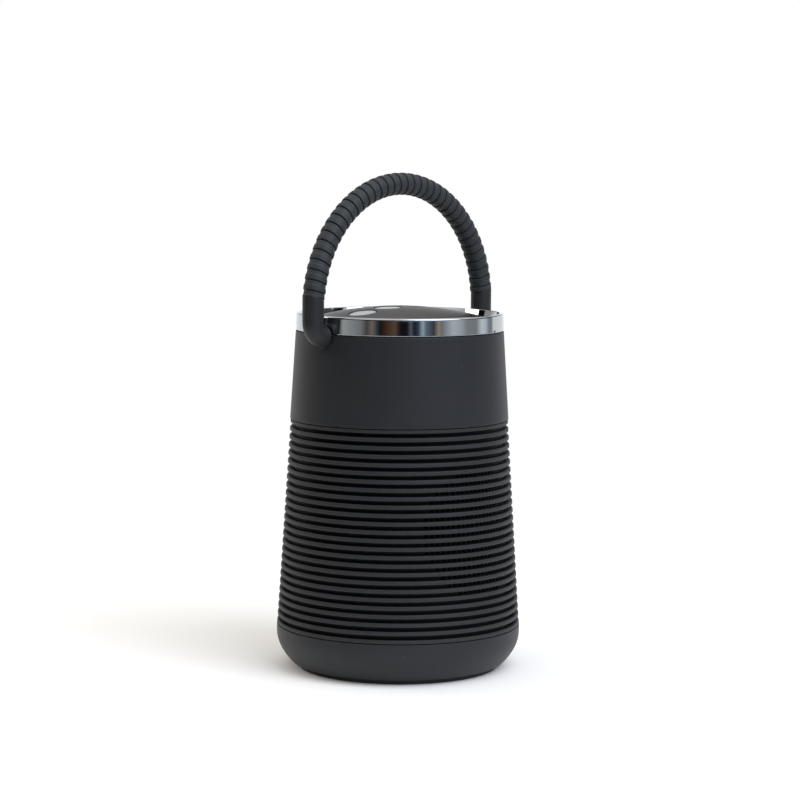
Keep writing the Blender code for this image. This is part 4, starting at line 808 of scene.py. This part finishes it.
def slant_rings(data):
    """Slants each ring of the hose, outer side up, most beside the legs and not at all over the top."""
    points = data.vertices
    rings = len(points) // GRIP_SIDES
    for i in range(rings):
        ring = points[i * GRIP_SIDES:(i + 1) * GRIP_SIDES]
        centre = sum((vertex.co for vertex in ring), Vector()) / GRIP_SIDES
        outward = Vector((centre.x / LEG_X, 0, (centre.z - ARCH_Z) / ARCH_RISE)).normalized()
        along = Vector((outward.z, 0, -outward.x))
        slant = -GRIP_SLANT * centre.x / LEG_X
        for vertex in ring:
            vertex.co += along * (slant * (vertex.co - centre).dot(outward))


def build_handle(looks):
    """Ringed hose grip and the two elbows that turn in the rim."""
    curve = bpy.data.curves.new("hose_path", "CURVE")
    curve.dimensions = "3D"
    line = curve.splines.new("POLY")
    points = arch_points(ELBOW_TOP - 0.1 * MM)
    line.points.add(len(points) - 1)
    for point, where in zip(line.points, points):
        point.co = (*where, 1.0)
    carrier = loose("hose_carrier", curve)
    step = carrier.modifiers.new("hose", "NODES")
    step.node_group = hose_tree(looks["hose"])
    data = bake(carrier)
    slant_rings(data)
    finish_piece("hose_grip", data, [looks["hose"]], "handle", ["handle_grip"], 40)
    build_elbow("left", -1, looks["nylon"])
    build_elbow("right", 1, looks["nylon"])


# ---- rear port ---------------------------------------------------------------------------------

def build_flap(look):
    """Rubber cover that follows the shell, with softened edges."""
    low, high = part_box("port_flap")
    z0, width, height = (low[2] + high[2]) / 2, high[0] - low[0], high[2] - low[2]
    radius, straight = height / 2, (width - height) / 2
    mesh = bmesh.new()
    columns, rows = 48, 10
    outside, inside = 0.1 * MM, 1.7 * MM  # depths of its two faces below the shell's surface

    def half_height(x):
        over = abs(x) - straight
        return radius if over <= 0 else math.sqrt(max(radius ** 2 - over ** 2, 0))

    layers = []
    for depth in (outside, inside):
        grid = []
        for i in range(columns + 1):
            x = -width / 2 + width * (0.5 - 0.5 * math.cos(math.pi * i / columns))
            half = max(half_height(x), 0.25 * MM)
            column = []
            for k in range(rows + 1):
                share = -1 + 2 * k / rows
                z = z0 + half * share
                edge = max(abs(share), abs(x) / (width / 2)) if depth == outside else 0
                soft = 0.35 * MM * max(0.0, (edge - 0.93) / 0.07) ** 2
                y = math.sqrt(skin_r(z) ** 2 - x * x) - depth - soft
                column.append(mesh.verts.new((x, y, z)))
            grid.append(column)
        layers.append(grid)
    front, back = layers
    for i in range(columns):
        for k in range(rows):
            mesh.faces.new((front[i][k], front[i + 1][k], front[i + 1][k + 1], front[i][k + 1]))
            mesh.faces.new((back[i][k], back[i][k + 1], back[i + 1][k + 1], back[i + 1][k]))
        for k in (0, rows):
            mesh.faces.new((front[i][k], front[i + 1][k], back[i + 1][k], back[i][k]))
    for i in (0, columns):
        for k in range(rows):
            mesh.faces.new((front[i][k], front[i][k + 1], back[i][k + 1], back[i][k]))
    bmesh.ops.recalc_face_normals(mesh, faces=mesh.faces)
    finish_piece("port_cover", mesh, [look], "flap", ["port_flap"], 40)


def repaint(looks):
    """Carried-over CAD nodes take their finish by material slot."""
    by_slot = {"soft_touch_abs": "soft_abs", "ribbed_tpe": "rib_tpe", "rubber_black": "rubber",
               "chrome_plated_abs": "chrome", "satin_panel": "panel", "button_silver": "silver",
               "zinc_steel": "zinc", "nylon_black": "nylon", "acetal_white": "acetal",
               "silicone_grey": "silicone", "circuit_board": "board", "cone_paper": "paper",
               "ferrite": "ferrite", "pressed_steel": "pressed", "gasket_foam": "foam",
               "woven_screen": "screen", "cell_wrap": "wrap", "hose_tpe": "hose"}
    slots = {item["node"]: item["material_slot"] for item in frame["record"]["subparts"]}
    for name, item in frame["nodes"].items():
        look = looks[by_slot[slots[name]]]
        for k in range(len(item.material_slots)):
            item.material_slots[k].material = look


# ---- studio ------------------------------------------------------------------------------------

KEY_POWER, FRONT_POWER, SIDE_POWER = 5.2, 9.0, 2.0
AZIMUTH = math.radians(-45.5)
DISTANCE, EYE = 894.4 * MM, 187.3 * MM
PITCH, ROLL, YAW = math.radians(5.626), math.radians(0.367), math.radians(0.014)


def from_view(right, towards, up):
    """Point given as metres to the right of, towards and above the object, as the camera sees it."""
    side = Vector((math.cos(AZIMUTH), math.sin(AZIMUTH), 0))
    back = Vector((math.sin(AZIMUTH), -math.cos(AZIMUTH), 0))
    return side * right + back * towards + Vector((0, 0, up))


def build_camera():
    data = bpy.data.cameras.new("view")
    camera = bpy.data.objects.new("view", data)
    bpy.context.collection.objects.link(camera)
    data.sensor_width = 36.0
    data.lens = 109.02
    data.clip_start, data.clip_end = 0.05, 20
    side = Vector((math.cos(YAW), -math.sin(YAW), 0))
    level = Vector((math.sin(YAW), math.cos(YAW), 0))
    ahead = level * math.cos(PITCH) - Vector((0, 0, math.sin(PITCH)))
    up = level * math.sin(PITCH) + Vector((0, 0, math.cos(PITCH)))
    right = side * math.cos(ROLL) + up * math.sin(ROLL)
    above = up * math.cos(ROLL) - side * math.sin(ROLL)
    axes = Matrix((right, above, -ahead)).transposed().to_4x4()
    where = Matrix.Translation((0, -DISTANCE, EYE))
    camera.matrix_world = Matrix.Rotation(AZIMUTH, 4, "Z") @ where @ axes
    bpy.context.scene.camera = camera


def area_light(name, where, aim, size, power, colour="FFFFFF"):
    data = bpy.data.lights.new(name, "AREA")
    data.shape, data.size, data.size_y = "RECTANGLE", size[0], size[1]
    data.energy = power
    data.color = linear(colour)[:3]
    lamp = bpy.data.objects.new(name, data)
    bpy.context.collection.objects.link(lamp)
    lamp.location = where
    lamp.rotation_euler = (aim - where).to_track_quat("-Z", "Y").to_euler()
    lamp.visible_camera = False


# What stands round the lens, by bearing in degrees to the right of it: what the chrome rim mirrors...
ROOM_LOW = (
    (-128, "C9CACB"), (-114, "C9CACB"), (-111, "1A1B1C"), (-70, "1A1B1C"), (-64, "A6A7A5"), (-43, "808080"),
    (-36, "4E4A45"), (-30, "787068"), (-24, "2E3C40"), (-21, "1A1B1B"), (-18, "3A2012"), (-5, "604C40"),
    (-2, "3A302C"), (1, "15161A"), (8, "16181C"), (12, "606068"), (15, "1E242A"), (20, "354450"), (25, "A8B4C0"),
    (28, "6A7680"), (37, "3E4044"), (43, "A09080"), (46, "7A7C7C"), (60, "C0C4C8"), (70, "B0B4B8"),
    (78, "8C8E90"), (92, "888A8C"), (101, "D4D8DE"), (108, "C8CCD4"), (114, "8C9098"), (120, "808488"),
    (125, "E0E4E8"))
# ...and what shades its body from above that height
ROOM_HIGH = ((-128, "0A0A0B"), (-90, "0A0A0B"), (-35, "0A0B0C"), (-8, "4C5056"), (10, "97A0AC"), (55, "A4ACB8"),
             (85, "5A5D62"), (125, "3A3C3F"))
SKY = ((0.12, "FFFFFF"), (0.24, "AAACAE"), (0.42, "AAACAE"), (0.6, "FFFFFF"))  # by sine of height above level
ROOM_R, ROOM_H, ROOM_STEP, ROOM_GLOW = 1.5, 0.95, (0.2, 0.3), 1.3
PAPER = (0.24, 0.37)  # distances from the middle where the paper starts and ends its fade to pure white


def build_room():
    """Dim room round the lens, seen only by what the speaker reflects; it also shades the speaker's front."""
    mesh = bmesh.new()
    first, last = ROOM_LOW[0][0], ROOM_LOW[-1][0]
    count = 96
    rows = []
    for i in range(count + 1):
        a = math.radians(first + (last - first) * i / count)
        rows.append([mesh.verts.new(from_view(ROOM_R * math.sin(a), ROOM_R * math.cos(a), z))
                     for z in (0.001, ROOM_H)])
    for a, b in zip(rows, rows[1:]):
        mesh.faces.new((a[0], b[0], b[1], a[1]))
    data = from_bmesh(mesh, "room")
    look, tree, shader, place = new_material(
        "dim room wall", {"Base Color": "000000", "Specular IOR Level": 0.0, "Emission Strength": ROOM_GLOW})
    turn = add(tree, "ShaderNodeMapping", {"Vector": place}, {"Rotation": (0, 0, -AZIMUTH)})
    split = add(tree, "ShaderNodeSeparateXYZ", {"Vector": turn.outputs["Vector"]})
    ahead = add(tree, "ShaderNodeMath", {0: split.outputs["Y"]}, {1: -1.0}, operation="MULTIPLY")
    angle = add(tree, "ShaderNodeMath", {0: split.outputs["X"], 1: ahead.outputs[0]}, operation="ARCTAN2")
    share = add(tree, "ShaderNodeMapRange", {"Value": angle.outputs[0]},
                {"From Min": math.radians(first), "From Max": math.radians(last)})
    bands = []
    for bearings in (ROOM_LOW, ROOM_HIGH):
        marks = [((bearing - first) / (last - first), colour) for bearing, colour in bearings]
        bands.append(colour_ramp(tree, share.outputs["Result"], marks))
    above = add(tree, "ShaderNodeMapRange", {"Value": split.outputs["Z"]},
                {"From Min": ROOM_STEP[0], "From Max": ROOM_STEP[1]})
    tone = mixed(tree, above.outputs["Result"], *bands)
    tree.links.new(tone, shader.inputs["Emission Color"])
    data.materials.append(look)
    wall = loose("room", data)
    wall.visible_camera = False


def build_floor():
    """White paper that runs out into the same white as the surroundings."""
    mesh = bmesh.new()
    bmesh.ops.create_grid(mesh, x_segments=1, y_segments=1, size=30.0)
    data = from_bmesh(mesh, "floor")
    look, tree, shader, place = new_material("white paper sweep", {
        "Roughness": 0.9, "Specular IOR Level": 0.1, "Emission Color": "FFFDF8", "Emission Strength": 0.05})
    paper = add(tree, "ShaderNodeTexNoise", {"Vector": place}, {"Scale": 3.0, "Detail": 2.0})
    tree.links.new(mixed(tree, paper.outputs["Fac"], "F9F7F2", "FCFAF6"), shader.inputs["Base Color"])
    far = add(tree, "ShaderNodeVectorMath", {0: place}, operation="LENGTH")
    fade = add(tree, "ShaderNodeMapRange", {"Value": far.outputs["Value"]},
               {"From Min": PAPER[0], "From Max": PAPER[1]}, interpolation_type="SMOOTHSTEP")
    glow = add(tree, "ShaderNodeEmission", values={"Color": linear("FFFFFF")})
    mix = add(tree, "ShaderNodeMixShader", {0: fade.outputs["Result"], 1: shader.outputs[0], 2: glow.outputs[0]})
    tree.links.new(mix.outputs[0], tree.nodes["Material Output"].inputs["Surface"])
    data.materials.append(look)
    loose("floor", data)


def build_bench():
    """Dark cloth beside and before the paper, hidden from the camera: it keeps the speaker's sides dark."""
    near, slope, far, wide = 0.375, 0.8, 1.5, 0.45
    edge = wide - slope * near
    back = (wide - far) / slope
    mesh = bmesh.new()
    patches = [[(-far, near), (far, near), (far, far), (-far, far)]]
    patches += [[(side * edge, near), (side * far, near), (side * far, back)] for side in (-1, 1)]
    for patch in patches:
        face = mesh.faces.new([mesh.verts.new(from_view(u, v, 1 * MM)) for u, v in patch])
        face.normal_update()
        if face.normal.z < 0:
            face.normal_flip()
    data = from_bmesh(mesh, "bench")
    data.materials.append(new_material(
        "dark bench cloth", {"Base Color": "3C3D3F", "Roughness": 0.95, "Specular IOR Level": 0.1})[0])
    cloth = loose("bench", data)
    cloth.visible_camera = False


def build_studio():
    """Pale floor and sky, two soft lights from the front right, a small one from the left, and a dim room."""
    world = bpy.data.worlds.new("studio")
    bpy.context.scene.world = world
    world.use_nodes = True
    tree = world.node_tree
    place = add(tree, "ShaderNodeTexCoord")
    split = add(tree, "ShaderNodeSeparateXYZ", {"Vector": place.outputs["Generated"]})
    tree.links.new(colour_ramp(tree, split.outputs["Z"], SKY), tree.nodes["Background"].inputs["Color"])
    tree.nodes["Background"].inputs["Strength"].default_value = 1.0
    aim = Vector((0, 0, 0.07))
    area_light("key", from_view(0.85, 0.6, 0.95), aim, (0.8, 0.8), KEY_POWER, "DCE8FF")
    area_light("front", from_view(0.6, 0.72, 1.15), aim, (1.0, 1.0), FRONT_POWER, "EAF0FF")
    area_light("side", from_view(-1.0, -0.28, 0.62), aim, (0.4, 0.4), SIDE_POWER, "FFEEDD")
    bpy.context.scene.view_settings.view_transform = "Standard"
    build_floor()
    build_bench()
    build_room()


def main():
    looks = make_materials()
    repaint(looks)
    build_camera()
    build_sleeve(looks["rib_tpe"])
    build_sound_holes(looks["rib_tpe"])
    build_base(looks)
    build_shell(looks["soft_abs"])
    build_ring(looks["chrome"])
    build_panel(looks["panel"])
    build_buttons(looks)
    build_handle(looks)
    build_flap(looks["rubber"])
    build_studio()


main()
